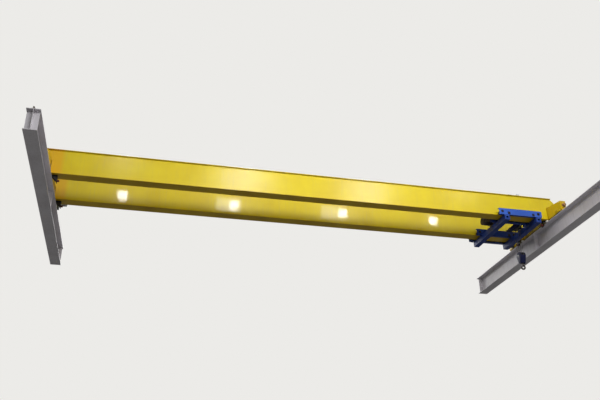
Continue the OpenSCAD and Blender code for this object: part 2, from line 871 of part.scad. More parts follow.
module block_sheaves() {
  color("dimgray")
    at_block() {
      for (s = [-1, 1])
        translate([0, 0, s * lead_dx]) sheave(sheave_d, 140, sheave_gap - 20, pin_hole);
      cylinder(h = block_w, d = pin_hole, center = true);
      for (s = [-1, 1])
        translate([0, 0, s * (block_w / 2 + 12)]) cylinder(h = 24, d = pin_hole * 1.5, center = true);
    }
}

module block_crosshead() {
  inner = block_w - 2 * cheek_t;
  color("dimgray")
    at_block()
      translate([0, -crosshead_drop, 0])
        difference() {
          cube([crosshead_w, crosshead_h, inner], center = true);
          rotate([90, 0, 0]) cylinder(h = crosshead_h + 2 * cut, d = 94, center = true);
        }
}

// Hook: nut, shank and bowl, which swivel about the shank's axis
bowl_drop = 300;
shank_d = 84;
bowl_z = pin_z - crosshead_drop - bowl_drop;
bowl_r = hook_bowl_d / 2;

module bowl_section() {
  translate([bowl_r + hook_t / 2, 0])
    intersection() {
      circle(d = hook_t * 1.16);
      square([hook_t, hook_t * 0.9], center = true);
    }
}

module hook() {
  nut_z = pin_z - crosshead_drop + crosshead_h / 2 + run_gap;
  color("darkgray")
    translate([hook_x, hook_y, 0]) {
      translate([0, 0, nut_z]) cylinder(h = 50, d = 150, $fn = 6);
      translate([0, 0, bowl_z + bowl_r + hook_t * 0.4])
        cylinder(h = nut_z + 50 - bowl_z - bowl_r - hook_t * 0.4, d = shank_d);
      translate([0, 0, bowl_z])
        rotate([90, 0, 0])
          rotate([0, 0, tip_angle])
            rotate_extrude(angle = 450 - tip_angle) bowl_section();
    }
}

// The latch closes the throat, from the shank's side to the bowl's tip
tip_angle = 150;

function on_tip(r) =
  [r * cos(tip_angle) + run_gap * sin(tip_angle), r * sin(tip_angle) - run_gap * cos(tip_angle)];

module hook_latch() {
  side = -shank_d / 2 - run_gap;
  color("silver")
    translate([hook_x, hook_y + hook_t * 0.2, bowl_z])
      rotate([90, 0, 0])
        linear_extrude(hook_t * 0.4)
          polygon([
            [side, bowl_r * 2.1], [side, bowl_r * 1.7], on_tip(bowl_r * 1.08),
            on_tip(bowl_r * 1.3), [side - 15, bowl_r * 2.1]
          ]);
}

left_runway_beam();
right_runway_beam();
left_rail();
right_rail();
near_girder_webs();
far_girder_webs();
near_top_flange();
far_top_flange();
near_bottom_flange();
far_bottom_flange();
left_end_truck();
right_end_truck();
left_truck_buffers();
right_truck_buffers();
left_trolley_stops();
right_trolley_stops();
trolley_stop_buffers();
bridge_gearboxes();
bridge_motors();
left_front_wheel();
right_front_wheel();
left_back_wheel();
right_back_wheel();
near_outer_side_beam();
near_inner_side_beam();
far_inner_side_beam();
far_outer_side_beam();
left_cross_beam();
right_cross_beam();
near_left_trolley_wheels();
far_left_trolley_wheels();
near_right_trolley_wheels();
far_right_trolley_wheels();
trolley_gearboxes();
trolley_motors();
hoist_gearbox();
hoist_motor();
hoist_stand();
hoist_drum();
drum_rope();
lead_rope();
return_sheave();
sheave_pin();
rope_anchor();
hoist_ropes();
block_housing();
block_sheaves();
block_crosshead();
hook();
hook_latch();
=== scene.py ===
"""Looks of an overhead bridge crane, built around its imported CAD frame.

All sizes are in metres, apart from the patterns of the finishes, which are in millimetres.
X runs along the bridge, Y along the runway and Z is up.
"""

import json
import logging
import math
from contextlib import contextmanager
from dataclasses import dataclass, field, replace
from enum import Enum
from typing import Callable, Iterable, Iterator, Sequence

import bmesh
import bpy
from mathutils import Matrix, Vector


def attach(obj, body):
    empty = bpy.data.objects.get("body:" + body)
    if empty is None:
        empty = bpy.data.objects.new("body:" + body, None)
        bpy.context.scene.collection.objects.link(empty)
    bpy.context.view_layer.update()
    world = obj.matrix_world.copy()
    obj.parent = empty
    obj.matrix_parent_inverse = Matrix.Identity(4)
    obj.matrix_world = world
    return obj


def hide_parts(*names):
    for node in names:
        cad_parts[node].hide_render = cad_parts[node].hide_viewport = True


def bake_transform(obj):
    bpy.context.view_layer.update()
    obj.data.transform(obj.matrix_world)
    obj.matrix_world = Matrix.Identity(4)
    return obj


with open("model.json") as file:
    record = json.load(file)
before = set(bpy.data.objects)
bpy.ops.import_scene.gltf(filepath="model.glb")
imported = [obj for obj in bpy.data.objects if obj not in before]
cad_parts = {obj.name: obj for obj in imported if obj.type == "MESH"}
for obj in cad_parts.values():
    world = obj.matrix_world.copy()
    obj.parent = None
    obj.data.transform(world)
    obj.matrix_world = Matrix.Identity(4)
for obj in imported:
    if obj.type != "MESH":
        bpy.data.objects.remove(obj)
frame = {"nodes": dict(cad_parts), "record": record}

LOG = logging.getLogger("crane")

Point = Sequence[float]
Outline = Sequence[tuple[float, float]]
Solid = bpy.types.Object
Socket = bpy.types.NodeSocket
Tree = bpy.types.NodeTree
FaceTest = Callable[[bmesh.types.BMFace], bool]


class Body(Enum):
    """The CAD bodies that pieces ride on."""

    RUNWAY = "runway"
    BRIDGE = "bridge"
    TROLLEY = "trolley"
    DRUM = "drum"
    BLOCK = "hook_block"
    HOOK = "hook"


class Slot(Enum):
    """The record's material slots."""

    RUNWAY = "runway_paint"
    RAIL = "rail_steel"
    GIRDER = "girder_yellow"
    BUFFER = "buffer_rubber"
    STOP = "stop_paint"
    STOP_RUBBER = "stop_rubber"
    GEARBOX = "gearbox_paint"
    MOTOR = "motor_paint"
    WHEEL = "wheel_steel"
    TROLLEY = "trolley_blue"
    HOIST = "hoist_brown"
    ROPE = "rope_steel"
    BLOCK = "block_blue"
    HOOK = "hook_steel"
    LATCH = "latch_steel"


# Finishes


def linear(colour: str) -> tuple[float, float, float, float]:
    """Turns an sRGB hex colour into linear light.

    Args:
        colour: Six hex digits after a hash sign.

    Returns:
        Linear red, green, blue and an alpha of 1.
    """
    parts = [int(colour[i : i + 2], 16) / 255 for i in (1, 3, 5)]
    red, green, blue = (p / 12.92 if p <= 0.04045 else ((p + 0.055) / 1.055) ** 2.4 for p in parts)
    return (red, green, blue, 1.0)


def add_node(
    tree: Tree, kind: str, inputs: dict[object, object], **settings: object
) -> bpy.types.NodeOutputs:
    """Adds a shader node, sets it and fills or links its inputs.

    Args:
        tree: The node tree.
        kind: Blender's name for the node, without its first word.
        inputs: Values or output sockets, by input name or number.
        settings: Properties of the node.

    Returns:
        The node's outputs.
    """
    made = tree.nodes.new("ShaderNode" + kind)
    for key, value in settings.items():
        setattr(made, key, value)
    for key, value in inputs.items():
        if isinstance(value, Socket):
            tree.links.new(value, made.inputs[key])
        else:
            made.inputs[key].default_value = value
    return made.outputs


def speckle(tree: Tree, at: Socket, grain: Point, detail: float, rough: float = 0.5) -> Socket:
    """Draws uneven noise from the real size of its grains.

    Args:
        tree: The material's node tree.
        at: Where the pattern is read.
        grain: A grain's size along X, Y and Z in millimetres.
        detail: How many finer layers it has.
        rough: Weight of the finer layers.

    Returns:
        The noise, round about 0.5.
    """
    scale = [1000 / size for size in grain]
    scaled = add_node(tree, "Mapping", {"Vector": at, "Scale": scale})["Vector"]
    noise = {"Vector": scaled, "Scale": 1.0, "Detail": detail, "Roughness": rough}
    return add_node(tree, "TexNoise", noise)["Fac"]


def patches(
    tree: Tree,
    at: Socket,
    grain: Point,
    detail: float,
    edge: tuple[float, float],
    share: tuple[float, float] = (0.0, 1.0),
    rough: float = 0.5,
) -> Socket:
    """Scatters patches with uneven edges.

    Args:
        tree: The material's node tree.
        at: Where the pattern is read.
        grain: A patch's size along X, Y and Z in millimetres.
        detail: How many finer layers its edge has.
        edge: Levels of the noise at which a patch starts and is full.
        share: Strength outside the patches and inside.
        rough: Weight of the finer layers.

    Returns:
        The strength.
    """
    noise = speckle(tree, at, grain, detail, rough)
    spread = {"Value": noise, "From Min": edge[0], "From Max": edge[1]}
    return add_node(tree, "MapRange", spread | {"To Min": share[0], "To Max": share[1]})["Result"]


@dataclass(frozen=True)
class Finish:
    """What a surface is made of. Each kind of finish builds its own shader."""

    name: str
    slot: Slot

    def material(self) -> bpy.types.Material:
        """Gives the finish as a material, made the first time it is asked for.

        Returns:
            The material.
        """
        made = bpy.data.materials.get(self.name)
        if made is None:
            made = bpy.data.materials.new(self.name)
            made.use_nodes = True
            made.node_tree.nodes.clear()
            add_node(made.node_tree, "OutputMaterial", {"Surface": self.shader(made.node_tree)})
        return made

    def shader(self, tree: Tree) -> Socket:
        """Builds the finish's nodes.

        Args:
            tree: The material's empty node tree.

        Returns:
            The shader.
        """
        raise NotImplementedError


@dataclass(frozen=True)
class Enamel(Finish):
    """Alkyd enamel sprayed on rolled steel plate.

    It is glossy, with slow waves from the plate's rolling and welding that stretch a
    lamp's reflection, faint runs of dust down the sides, and dust on what faces up. Where
    the fields say so, it has painted warm shade up to end_x, painted shade within the
    given reach in X and Y of the bridge's middle, and edges that are chipped to bare plate.
    """

    colour: str
    shade: str
    dust: str = "#8F877A"
    roughness: float = 0.32
    coat: float = 0.5
    coat_roughness: float = 0.06
    wave: float = 900.0
    wave_height: float = 0.002
    streak: float = 0.25
    chips: float = 0.0
    bare: str = "#6E6760"
    end_shade_colour: str = ""
    end_x: float = 0.57
    end_fade: float = 0.2
    painted_shade: str = ""
    painted_shade_middle: float = 13.025
    painted_shade_x: float = 20.0
    painted_shade_y: float = 1.15
    painted_shade_edge: float = 0.25

    def toned(self, tree: Tree, at: Socket) -> Socket:
        """Varies the paint over about 1.4 m, a sprayer's pass, and paints warm shade on the left ends.

        Args:
            tree: The material's node tree.
            at: Where the patterns are read.

        Returns:
            The colour.
        """
        tone = patches(tree, at, (1430,) * 3, 3.0, (0.35, 0.7))
        mix = {0: tone, 6: linear(self.colour), 7: linear(self.shade)}
        paint = add_node(tree, "Mix", mix, data_type="RGBA")[2]
        # Painted warm shade: an orange tint on the left ends, fading out between end_x and end_x + end_fade.
        if self.end_shade_colour:
            x = add_node(tree, "SeparateXYZ", {"Vector": at})["X"]
            end = {"Value": x, "From Min": self.end_x, "From Max": self.end_x + self.end_fade}
            near = add_node(tree, "MapRange", end | {"To Min": 0.6, "To Max": 0.0})["Result"]
            mix = {0: near, 6: paint, 7: linear(self.end_shade_colour)}
            paint = add_node(tree, "Mix", mix, data_type="RGBA")[2]
        return paint

    def add_painted_shade(self, tree: Tree, at: Socket, paint: Socket) -> Socket:
        """Paints shade on the colour near the bridge's middle, in blots of about 400 mm.

        Args:
            tree: The material's node tree.
            at: Where the patterns are read.
            paint: The colour before the painted shade.

        Returns:
            The colour.
        """
        # Painted shade: a darker colour laid in blots within the given reach of the middle.
        middle = (self.painted_shade_middle, 0.0, 0.0)
        away = add_node(tree, "VectorMath", {0: at, 1: middle}, operation="SUBTRACT")[0]
        away = add_node(tree, "VectorMath", {0: away}, operation="ABSOLUTE")[0]
        away = add_node(tree, "SeparateXYZ", {"Vector": away})
        painted_shade = patches(tree, at, (400,) * 3, 4.0, (0.3, 0.55), (0.65, 0.95))
        for axis, reach, edge in (("Y", self.painted_shade_y, self.painted_shade_edge), ("X", self.painted_shade_x, 0.2)):
            near = {"Value": away[axis], "From Min": reach, "From Max": reach - edge}
            near = add_node(tree, "MapRange", near)["Result"]
            painted_shade = add_node(tree, "Math", {0: painted_shade, 1: near}, operation="MULTIPLY")[0]
        mix = {0: painted_shade, 6: paint, 7: linear(self.painted_shade)}
        return add_node(tree, "Mix", mix, data_type="RGBA")[2]

    def dirt(self, tree: Tree, at: Socket) -> Socket:
        """Adds runs of dust, 111 mm wide and 1.4 m long, to dust that lies on what faces up.

        Args:
            tree: The material's node tree.
            at: Where the patterns are read.

        Returns:
            How much dust there is.
        """
        runs = patches(tree, at, (111, 111, 1430), 5.0, (0.52, 0.8), (0.0, self.streak), 0.62)
        normal = add_node(tree, "NewGeometry", {})["Normal"]
        up = add_node(tree, "SeparateXYZ", {"Vector": normal})["Z"]
        flat = {"Value": up, "From Min": 0.5, "From Max": 1.0, "To Max": 0.55}
        lying = add_node(tree, "MapRange", flat)["Result"]
        grains = speckle(tree, at, (167,) * 3, 8.0, 0.7)
        lying = add_node(tree, "Math", {0: lying, 1: grains}, operation="MULTIPLY")[0]
        return add_node(tree, "Math", {0: runs, 1: lying}, operation="ADD", use_clamp=True)[0]

    def rubbed(self, tree: Tree, at: Socket) -> Socket:
        """Finds edges, 6 mm wide, that are rubbed bare in chips of about 36 mm.

        Args:
            tree: The material's node tree.
            at: Where the patterns are read.

        Returns:
            How bare the steel is.
        """
        soft = add_node(tree, "Bevel", {"Radius": 0.006}, samples=4)["Normal"]
        flat = add_node(tree, "NewGeometry", {})["Normal"]
        flush = add_node(tree, "VectorMath", {0: soft, 1: flat}, operation="DOT_PRODUCT")["Value"]
        rim = {"Value": flush, "From Min": 0.985, "From Max": 0.9, "To Max": self.chips}
        rim = add_node(tree, "MapRange", rim)["Result"]
        rub = patches(tree, at, (36,) * 3, 6.0, (0.42, 0.56), rough=0.7)
        return add_node(tree, "Math", {0: rub, 1: rim}, operation="MULTIPLY")[0]

    def relief(self, tree: Tree, at: Socket) -> tuple[Socket, Socket]:
        """Raises the plate's waves and, on them, the spray's orange peel.

        Real peel is about 5 mm, too fine to show, so it is drawn at 22 mm.

        Args:
            tree: The material's node tree.
            at: Where the patterns are read.

        Returns:
            The normals of the waves, and of the waves with the peel.
        """
        height = speckle(tree, at, (self.wave, self.wave, self.wave / 3.2), 2.0)
        bump = {"Height": height, "Distance": self.wave_height, "Strength": 1.0}
        waves = add_node(tree, "Bump", bump)["Normal"]
        peel = speckle(tree, at, (22,) * 3, 2.0)
        bump = {"Height": peel, "Distance": 0.0006, "Strength": 0.4, "Normal": waves}
        return waves, add_node(tree, "Bump", bump)["Normal"]

    def shader(self, tree: Tree) -> Socket:
        """Builds the enamel's nodes.

        Args:
            tree: The material's empty node tree.

        Returns:
            The shader.
        """
        at = add_node(tree, "TexCoord", {})["Object"]
        paint = self.toned(tree, at)
        # Painted shade near the bridge's middle, where a colour for it is given.
        if self.painted_shade:
            paint = self.add_painted_shade(tree, at, paint)
        dirt = self.dirt(tree, at)
        mix = {0: dirt, 6: paint, 7: linear(self.dust)}
        paint = add_node(tree, "Mix", mix, data_type="RGBA")[2]
        metal: float | Socket = 0.0
        if self.chips:
            metal = self.rubbed(tree, at)
            mix = {0: metal, 6: paint, 7: linear(self.bare)}
            paint = add_node(tree, "Mix", mix, data_type="RGBA")[2]
        waves, relief = self.relief(tree, at)
        rough = {"Value": dirt, "To Min": self.roughness, "To Max": 0.8}
        enamel = {
            "Base Color": paint,
            "Metallic": metal,
            "Roughness": add_node(tree, "MapRange", rough)["Result"],
            "Normal": relief,
            "Coat Weight": self.coat,
            "Coat Roughness": self.coat_roughness,
            "Coat Normal": waves,
            "Specular IOR Level": 0.25,
            "IOR": 1.5,
        }
        return add_node(tree, "BsdfPrincipled", enamel)["BSDF"]


@dataclass(frozen=True)
class BareSteel(Finish):
    """Rolled, turned or forged steel without paint.

    Its machining or forging shows as relief of the size of grain, drawn far coarser than
    the real marks so that it shows, and rust lies in patches of about 143 mm.
    """

    colour: str
    rust: str = "#5A3B28"
    rust_share: float = 0.3
    roughness: float = 0.38
    grain: tuple[float, float, float] = (25.0, 25.0, 25.0)
    grain_depth: float = 0.0005

    def shader(self, tree: Tree) -> Socket:
        """Builds the steel's nodes.

        Args:
            tree: The material's empty node tree.

        Returns:
            The shader.
        """
        at = add_node(tree, "TexCoord", {})["Object"]
        lines = speckle(tree, at, self.grain, 4.0)
        rusty = patches(tree, at, (143,) * 3, 7.0, (0.48, 0.72), (0.0, self.rust_share), 0.68)
        bright = linear(self.colour)
        dark = tuple(0.6 * c for c in bright[:3]) + (1.0,)
        steel = add_node(tree, "Mix", {0: lines, 6: dark, 7: bright}, data_type="RGBA")[2]
        mix = {0: rusty, 6: steel, 7: linear(self.rust)}
        metal = {"Value": rusty, "To Min": 1.0, "To Max": 0.0}
        rough = {"Value": rusty, "To Min": self.roughness, "To Max": 0.9}
        relief = {"Height": lines, "Distance": self.grain_depth, "Strength": 0.6}
        skin = {
            "Base Color": add_node(tree, "Mix", mix, data_type="RGBA")[2],
            "Metallic": add_node(tree, "MapRange", metal)["Result"],
            "Roughness": add_node(tree, "MapRange", rough)["Result"],
            "Normal": add_node(tree, "Bump", relief)["Normal"],
        }
        return add_node(tree, "BsdfPrincipled", skin)["BSDF"]


@dataclass(frozen=True)
class Casting(Finish):
    """Cast iron or aluminium under one coat of machine paint.

    Oily dust darkens it in patches of about 200 mm. The sand mould leaves a pebbled skin
    of under 1 mm, too fine to show, so it is drawn at about 5 mm.
    """

    colour: str
    grime: str = "#26221D"
    grime_share: float = 0.5
    roughness: float = 0.5
    pebble: float = 5.26

    def shader(self, tree: Tree) -> Socket:
        """Builds the casting's nodes.

        Args:
            tree: The material's empty node tree.

        Returns:
            The shader.
        """
        at = add_node(tree, "TexCoord", {})["Object"]
        grimy = patches(tree, at, (200,) * 3, 6.0, (0.45, 0.75), (0.0, self.grime_share), 0.65)
        mix = {0: grimy, 6: linear(self.colour), 7: linear(self.grime)}
        sand = add_node(tree, "TexVoronoi", {"Vector": at, "Scale": 1000 / self.pebble})["Distance"]
        relief = {"Height": sand, "Distance": 0.0008, "Strength": 0.35}
        rough = {"Value": grimy, "To Min": self.roughness, "To Max": 0.75}
        skin = {
            "Base Color": add_node(tree, "Mix", mix, data_type="RGBA")[2],
            "Roughness": add_node(tree, "MapRange", rough)["Result"],
            "Normal": add_node(tree, "Bump", relief)["Normal"],
            "Coat Weight": 0.15,
        }
        return add_node(tree, "BsdfPrincipled", skin)["BSDF"]


@dataclass(frozen=True)
class Rubber(Finish):
    """Moulded rubber or polyurethane: matt, with a soft sheen and dust in 56 mm patches."""

    colour: str
    dusty: str

    def shader(self, tree: Tree) -> Socket:
        """Builds the rubber's nodes.

        Args:
            tree: The material's empty node tree.

        Returns:
            The shader.
        """
        at = add_node(tree, "TexCoord", {})["Object"]
        dust = patches(tree, at, (56,) * 3, 7.0, (0.4, 0.8), (0.0, 0.6), 0.7)
        mix = {0: dust, 6: linear(self.colour), 7: linear(self.dusty)}
        relief = {"Height": dust, "Distance": 0.0006, "Strength": 0.4}
        skin = {
            "Base Color": add_node(tree, "Mix", mix, data_type="RGBA")[2],
            "Roughness": 0.78,
            "Normal": add_node(tree, "Bump", relief)["Normal"],
            "Sheen Weight": 0.2,
            "IOR": 1.45,
        }
        return add_node(tree, "BsdfPrincipled", skin)["BSDF"]


@dataclass(frozen=True)
class WireRope(Finish):
    """Galvanised wire rope under grease, which darkens it in patches of about 71 mm.

    Its wires are about 1 mm thick, too fine to show, so they are drawn at about 4 mm.
    """

    colour: str = "#7C776E"
    grease: str = "#2A2620"

    def shader(self, tree: Tree) -> Socket:
        """Builds the rope's nodes.

        Args:
            tree: The material's empty node tree.

        Returns:
            The shader.
        """
        at = add_node(tree, "TexCoord", {})["Object"]
        wires = speckle(tree, at, (3.85,) * 3, 2.0)
        film = patches(tree, at, (71,) * 3, 5.0, (0.35, 0.7), (0.15, 0.8))
        mix = {0: film, 6: linear(self.colour), 7: linear(self.grease)}
        rough = {"Value": wires, "To Min": 0.35, "To Max": 0.6}
        relief = {"Height": wires, "Distance": 0.0008, "Strength": 0.7}
        skin = {
            "Base Color": add_node(tree, "Mix", mix, data_type="RGBA")[2],
            "Metallic": 0.75,
            "Roughness": add_node(tree, "MapRange", rough)["Result"],
            "Normal": add_node(tree, "Bump", relief)["Normal"],
        }
        return add_node(tree, "BsdfPrincipled", skin)["BSDF"]


# Yellow enamel on the girders: deep gloss that mirrors the lamps, hardly any dust, and painted warm shade at
# the left ends.
GIRDER_PAINT = Enamel(
    "girder_enamel", Slot.GIRDER, "#E0C912", "#D6BC0E", end_shade_colour="#E3A306", streak=0.12
)
# The same enamel, chalked by years of light: its gloss is softer.
CHALKED_PAINT = replace(GIRDER_PAINT, name="chalked_girder_enamel", coat_roughness=0.3)
# Yellow enamel on the end trucks: duller, chipped at its edges, with painted shade on the inner faces
# between the girders.
TRUCK_PAINT = Enamel(
    "truck_enamel", Slot.GIRDER, "#D8B814", "#C9A510", streak=0.3, chips=0.5, coat=0.25,
    painted_shade="#4A3C16", painted_shade_x=13.1,
)
# Yellow enamel on the bottom flanges, darker as painted shade on the undersides and dusty: thin, so it
# hardly mirrors anything.
FLANGE_PAINT = Enamel(
    "flange_enamel", Slot.GIRDER, "#CBAA12", "#B5930C", streak=0.3, coat=0.15, wave_height=0.001
)
# Pale grey primer enamel on the runway beams: matt, with long runs of dust.
RUNWAY_PAINT = Enamel(
    "runway_enamel", Slot.RUNWAY, "#D6D3D8", "#C6C2C6", dust="#857F7A", roughness=0.5, coat=0.1,
    streak=0.35,
)
# Blue enamel on the trolley: half gloss, chipped at its edges, with painted shade on its inner faces.
TROLLEY_PAINT = Enamel(
    "trolley_enamel", Slot.TROLLEY, "#2F5FC4", "#254FAB", dust="#4A4D55", roughness=0.38,
    coat=0.35, chips=0.7, wave_height=0.0008, painted_shade="#172F70", painted_shade_y=1.852, painted_shade_edge=0.008,
)
# The same blue, darkened as painted shade for the inner side beams and cross beams, with dark dust: dark and
# nearly matt.
SHADED_PAINT = Enamel(
    "shaded_trolley_enamel", Slot.TROLLEY, "#1C3A86", "#162E6C", dust="#34363C", roughness=0.5,
    coat=0.12, streak=0.35, chips=0.7, wave_height=0.0008,
)
# Dark blue enamel on the hook block and stand: matt with oil, with chipped rims.
BLOCK_PAINT = Enamel(
    "block_enamel", Slot.BLOCK, "#171D42", "#121736", dust="#2E2F36", roughness=0.58, coat=0.05,
    streak=0.3, chips=0.5, wave_height=0.0004,
)
# Black enamel on the trolley stops: low gloss, knocked at its edges.
STOP_PAINT = Enamel(
    "stop_enamel", Slot.STOP, "#1B1B1D", "#141416", dust="#3E3A35", roughness=0.42, coat=0.2,
    streak=0.3, chips=0.4, wave_height=0.0005,
)
# Brown machine paint on the hoist's cast iron: oily dark patches on a dull skin.
HOIST_PAINT = Casting("hoist_machine_paint", Slot.HOIST, "#4A3F37")
# Grey machine paint on cast-iron gear cases: dull, dark with oil.
GEARBOX_PAINT = Casting("gearbox_paint", Slot.GEARBOX, "#3A4045")
# Cast-iron sheaves under grease: nearly black, a little smoother.
SHEAVE_IRON = Casting("greased_sheave_iron", Slot.WHEEL, "#2B2A2B", roughness=0.42)
# Light grey paint on cast-aluminium motors: pale, with thin grime between the fins.
MOTOR_PAINT = Casting(
    "motor_paint", Slot.MOTOR, "#9EA2A6", grime="#4A4640", grime_share=0.35, roughness=0.42
)
# Powder-coated switch boxes: white, smooth, with a little dirt.
SWITCH_CASE = Casting(
    "white_switch_case", Slot.MOTOR, "#E6E6E2", grime="#9C978C", grime_share=0.3, roughness=0.35
)
# Hot-rolled rail steel: rolling marks along the rail, brown with rust beside its running band.
RAIL_STEEL = BareSteel(
    "rolled_rail_steel", Slot.RAIL, "#8C8680", rust_share=0.75, grain=(17.0, 333.0, 17.0)
)
# Turned wheel steel: close marks from the lathe, bright where it rolls.
WHEEL_STEEL = BareSteel(
    "turned_wheel_steel", Slot.WHEEL, "#77726D", rust_share=0.35, grain=(11.0, 83.0, 83.0)
)
# Drop-forged hook steel: scaly and dark, with rust in the hollows of its skin.
HOOK_STEEL = BareSteel(
    "forged_hook_steel", Slot.HOOK, "#5E5A57", rust_share=0.55, roughness=0.5,
    grain=(33.0, 33.0, 33.0), grain_depth=0.0015,
)
# Black oxide on bolts and clips: dark, half matt.
BOLT_STEEL = BareSteel("black_bolt_steel", Slot.RAIL, "#3C3A38", rust_share=0.35, roughness=0.45)
# Zinc-plated sheet and fittings: pale and fairly smooth, with dull stains.
ZINC = BareSteel(
    "zinc_plated_steel", Slot.LATCH, "#B9BABB", rust="#8C8577", rust_share=0.35, roughness=0.33
)
# Moulded polyurethane truck buffers: tan and matt.
BUFFER_RUBBER = Rubber("tan_buffer_rubber", Slot.BUFFER, "#9A6A3C", "#B79A72")
# Moulded rubber of the trolley stops: red-brown and matt.
STOP_RUBBER = Rubber("red_brown_stop_rubber", Slot.STOP_RUBBER, "#5E241B", "#6E4338")
# Extruded rubber round conductors and leads: black under grey dust.
CABLE_RUBBER = Rubber("black_cable_rubber", Slot.STOP_RUBBER, "#1E1E1F", "#3B3936")
# The hoist rope.
ROPE = WireRope("greased_wire_rope", Slot.ROPE)


# Modelling

HERE = Matrix.Identity(4)


def spot(x: float, y: float, z: float) -> Matrix:
    """Returns a place that is moved and not turned."""
    return Matrix.Translation((x, y, z))


def spun(angle: float) -> Matrix:
    """Returns a place that is turned about Z and not moved."""
    return Matrix.Rotation(angle, 4, "Z")


def axes(origin: Point, u: Point, v: Point) -> Matrix:
    """Gives a place by the directions of its X and Y axes.

    Args:
        origin: Its origin.
        u: Direction of its X axis.
        v: Direction of its Y axis, square to the first.

    Returns:
        The place.
    """
    across, along = Vector(u).normalized(), Vector(v).normalized()
    columns = [across, along, across.cross(along)]
    turn = Matrix([[c[row] for c in columns] for row in range(3)]).to_4x4()
    return Matrix.Translation(Vector(origin)) @ turn


def facing(origin: Point, direction: Point) -> Matrix:
    """Gives a place by the direction of its Z axis.

    Args:
        origin: Its origin.
        direction: Direction of its Z axis.

    Returns:
        The place.
    """
    turn = Vector(direction).to_track_quat("Z", "Y").to_matrix().to_4x4()
    return Matrix.Translation(Vector(origin)) @ turn


def polar(radius: float, angle: float) -> tuple[float, float]:
    """Returns the X and Y of a point at a radius and an angle."""
    return radius * math.cos(angle), radius * math.sin(angle)


def arc(
    radius: float, start: float, sweep: float, steps: int, rise: float = 0.0
) -> list[tuple[float, float]]:
    """Draws an arc.

    Args:
        radius: Its radius.
        start: Angle of its first point.
        sweep: Angle from its first point to its last.
        steps: Chords along it.
        rise: Height of its middle.

    Returns:
        Its points.
    """
    ends = (polar(radius, start + sweep * i / steps) for i in range(steps + 1))
    return [(x, rise + y) for x, y in ends]


def round_of(place: Matrix, radius: float, count: int, start: float = 0.0) -> list[Matrix]:
    """Spreads places evenly round a circle.

    Args:
        place: The circle's middle, in whose XY plane it lies.
        radius: The circle's radius.
        count: How many places there are.
        start: Angle of the first.

    Returns:
        The places.
    """
    return [place @ spot(*polar(radius, start + 2 * math.pi * i / count), 0) for i in range(count)]


def scaled(points: Outline, width: float, height: float) -> list[tuple[float, float]]:
    """Stretches an outline of unit size.

    Args:
        points: The outline.
        width: Length of its first unit.
        height: Length of its second unit.

    Returns:
        The stretched outline.
    """
    return [(width * u, height * v) for u, v in points]


def band(inner: float, outer: float, low: float, high: float) -> list[tuple[float, float]]:
    """Draws half of a plain ring's section.

    Args:
        inner: Its inner radius.
        outer: Its outer radius.
        low: Height of its lower face.
        high: Height of its upper face.

    Returns:
        Points of radius and height.
    """
    return [(inner, low), (outer, low), (outer, high), (inner, high)]


def fillet(web: float, leg: float, bulge: float) -> list[tuple[float, float]]:
    """Draws the section of a weld in the corner of a web and a flange.

    Args:
        web: The web's face.
        leg: How far the weld reaches along web and flange.
        bulge: How full its face is, as a share of the leg.

    Returns:
        Points across from the web's middle and away from the flange.
    """
    sunk, waist = 0.001, 0.45 * leg
    return [
        (web - sunk, -sunk), (web + leg, -sunk), (web + bulge * leg, waist),
        (web + waist, bulge * leg), (web - sunk, leg),
    ]


def deselect() -> None:
    """Leaves edit mode and deselects everything."""
    active = bpy.context.view_layer.objects.active
    if active is not None and active.mode != "OBJECT":
        bpy.ops.object.mode_set(mode="OBJECT")
    for other in bpy.context.selected_objects:
        other.select_set(False)


def choose(work: Solid) -> None:
    """Selects one piece alone and makes it active.

    Args:
        work: The piece.
    """
    deselect()
    bpy.context.view_layer.objects.active = work
    work.select_set(True)


@contextmanager
def editing(work: Solid) -> Iterator[None]:
    """Opens a piece in edit mode with everything selected, and closes it after.

    Args:
        work: The piece.

    Returns:
        A context that lasts as long as the edit.
    """
    choose(work)
    bpy.ops.object.mode_set(mode="EDIT")
    bpy.ops.mesh.select_mode(type="FACE")
    bpy.ops.mesh.select_all(action="SELECT")
    yield
    bpy.ops.object.mode_set(mode="OBJECT")


def pick_faces(work: Solid, test: FaceTest) -> None:
    """Selects, in edit mode, the faces that pass a test and no others.

    Args:
        work: The piece.
        test: Tells whether a face is picked.
    """
    bpy.ops.mesh.select_all(action="DESELECT")
    mesh = bmesh.from_edit_mesh(work.data)
    for face in mesh.faces:
        if test(face):
            face.select_set(True)
    bmesh.update_edit_mesh(work.data)


def settle(work: Solid, place: Matrix) -> Solid:
    """Moves a piece to its place and puts that place into its mesh.

    Args:
        work: The piece.
        place: Where it goes.

    Returns:
        The piece.
    """
    work.matrix_world = place
    choose(work)
    bpy.ops.object.transform_apply(location=True, rotation=True, scale=True)
    return work


def join(parts: Sequence[Solid]) -> Solid:
    """Joins parts.

    Args:
        parts: The parts.

    Returns:
        The first part, which the others are now in.
    """
    choose(parts[0])
    for part in parts[1:]:
        part.select_set(True)
    if len(parts) > 1:
        bpy.ops.object.join()
    return parts[0]


def copies(model: Solid, places: Iterable[Matrix]) -> Solid:
    """Copies a finished model to each place, each copy with its own mesh, and joins them.

    Args:
        model: The model, which goes.
        places: Where the copies go.

    Returns:
        The joined copies.
    """
    made = []
    for place in places:
        copy = model.copy()
        copy.data = model.data.copy()
        copy.data.transform(place)
        bpy.context.scene.collection.objects.link(copy)
        made.append(copy)
    bpy.data.objects.remove(model)
    return join(made)


def drilled(work: Solid, radius: float, middle: float = 0.0) -> Solid:
    """Drills a round hole into a plate, about its Z axis.

    Args:
        work: The plate.
        radius: The hole's radius.
        middle: Height of the middle of the drill, which is 0.1 long.

    Returns:
        The plate.
    """
    deselect()
    bpy.ops.mesh.primitive_cylinder_add(vertices=40, radius=radius, depth=0.1, location=(0, 0, middle))
    drill = bpy.context.object
    cut = work.modifiers.new("bore", "BOOLEAN")
    cut.object = drill
    cut.operation = "DIFFERENCE"
    choose(work)
    bpy.ops.object.modifier_apply(modifier="bore")
    bpy.data.objects.remove(drill)
    return work


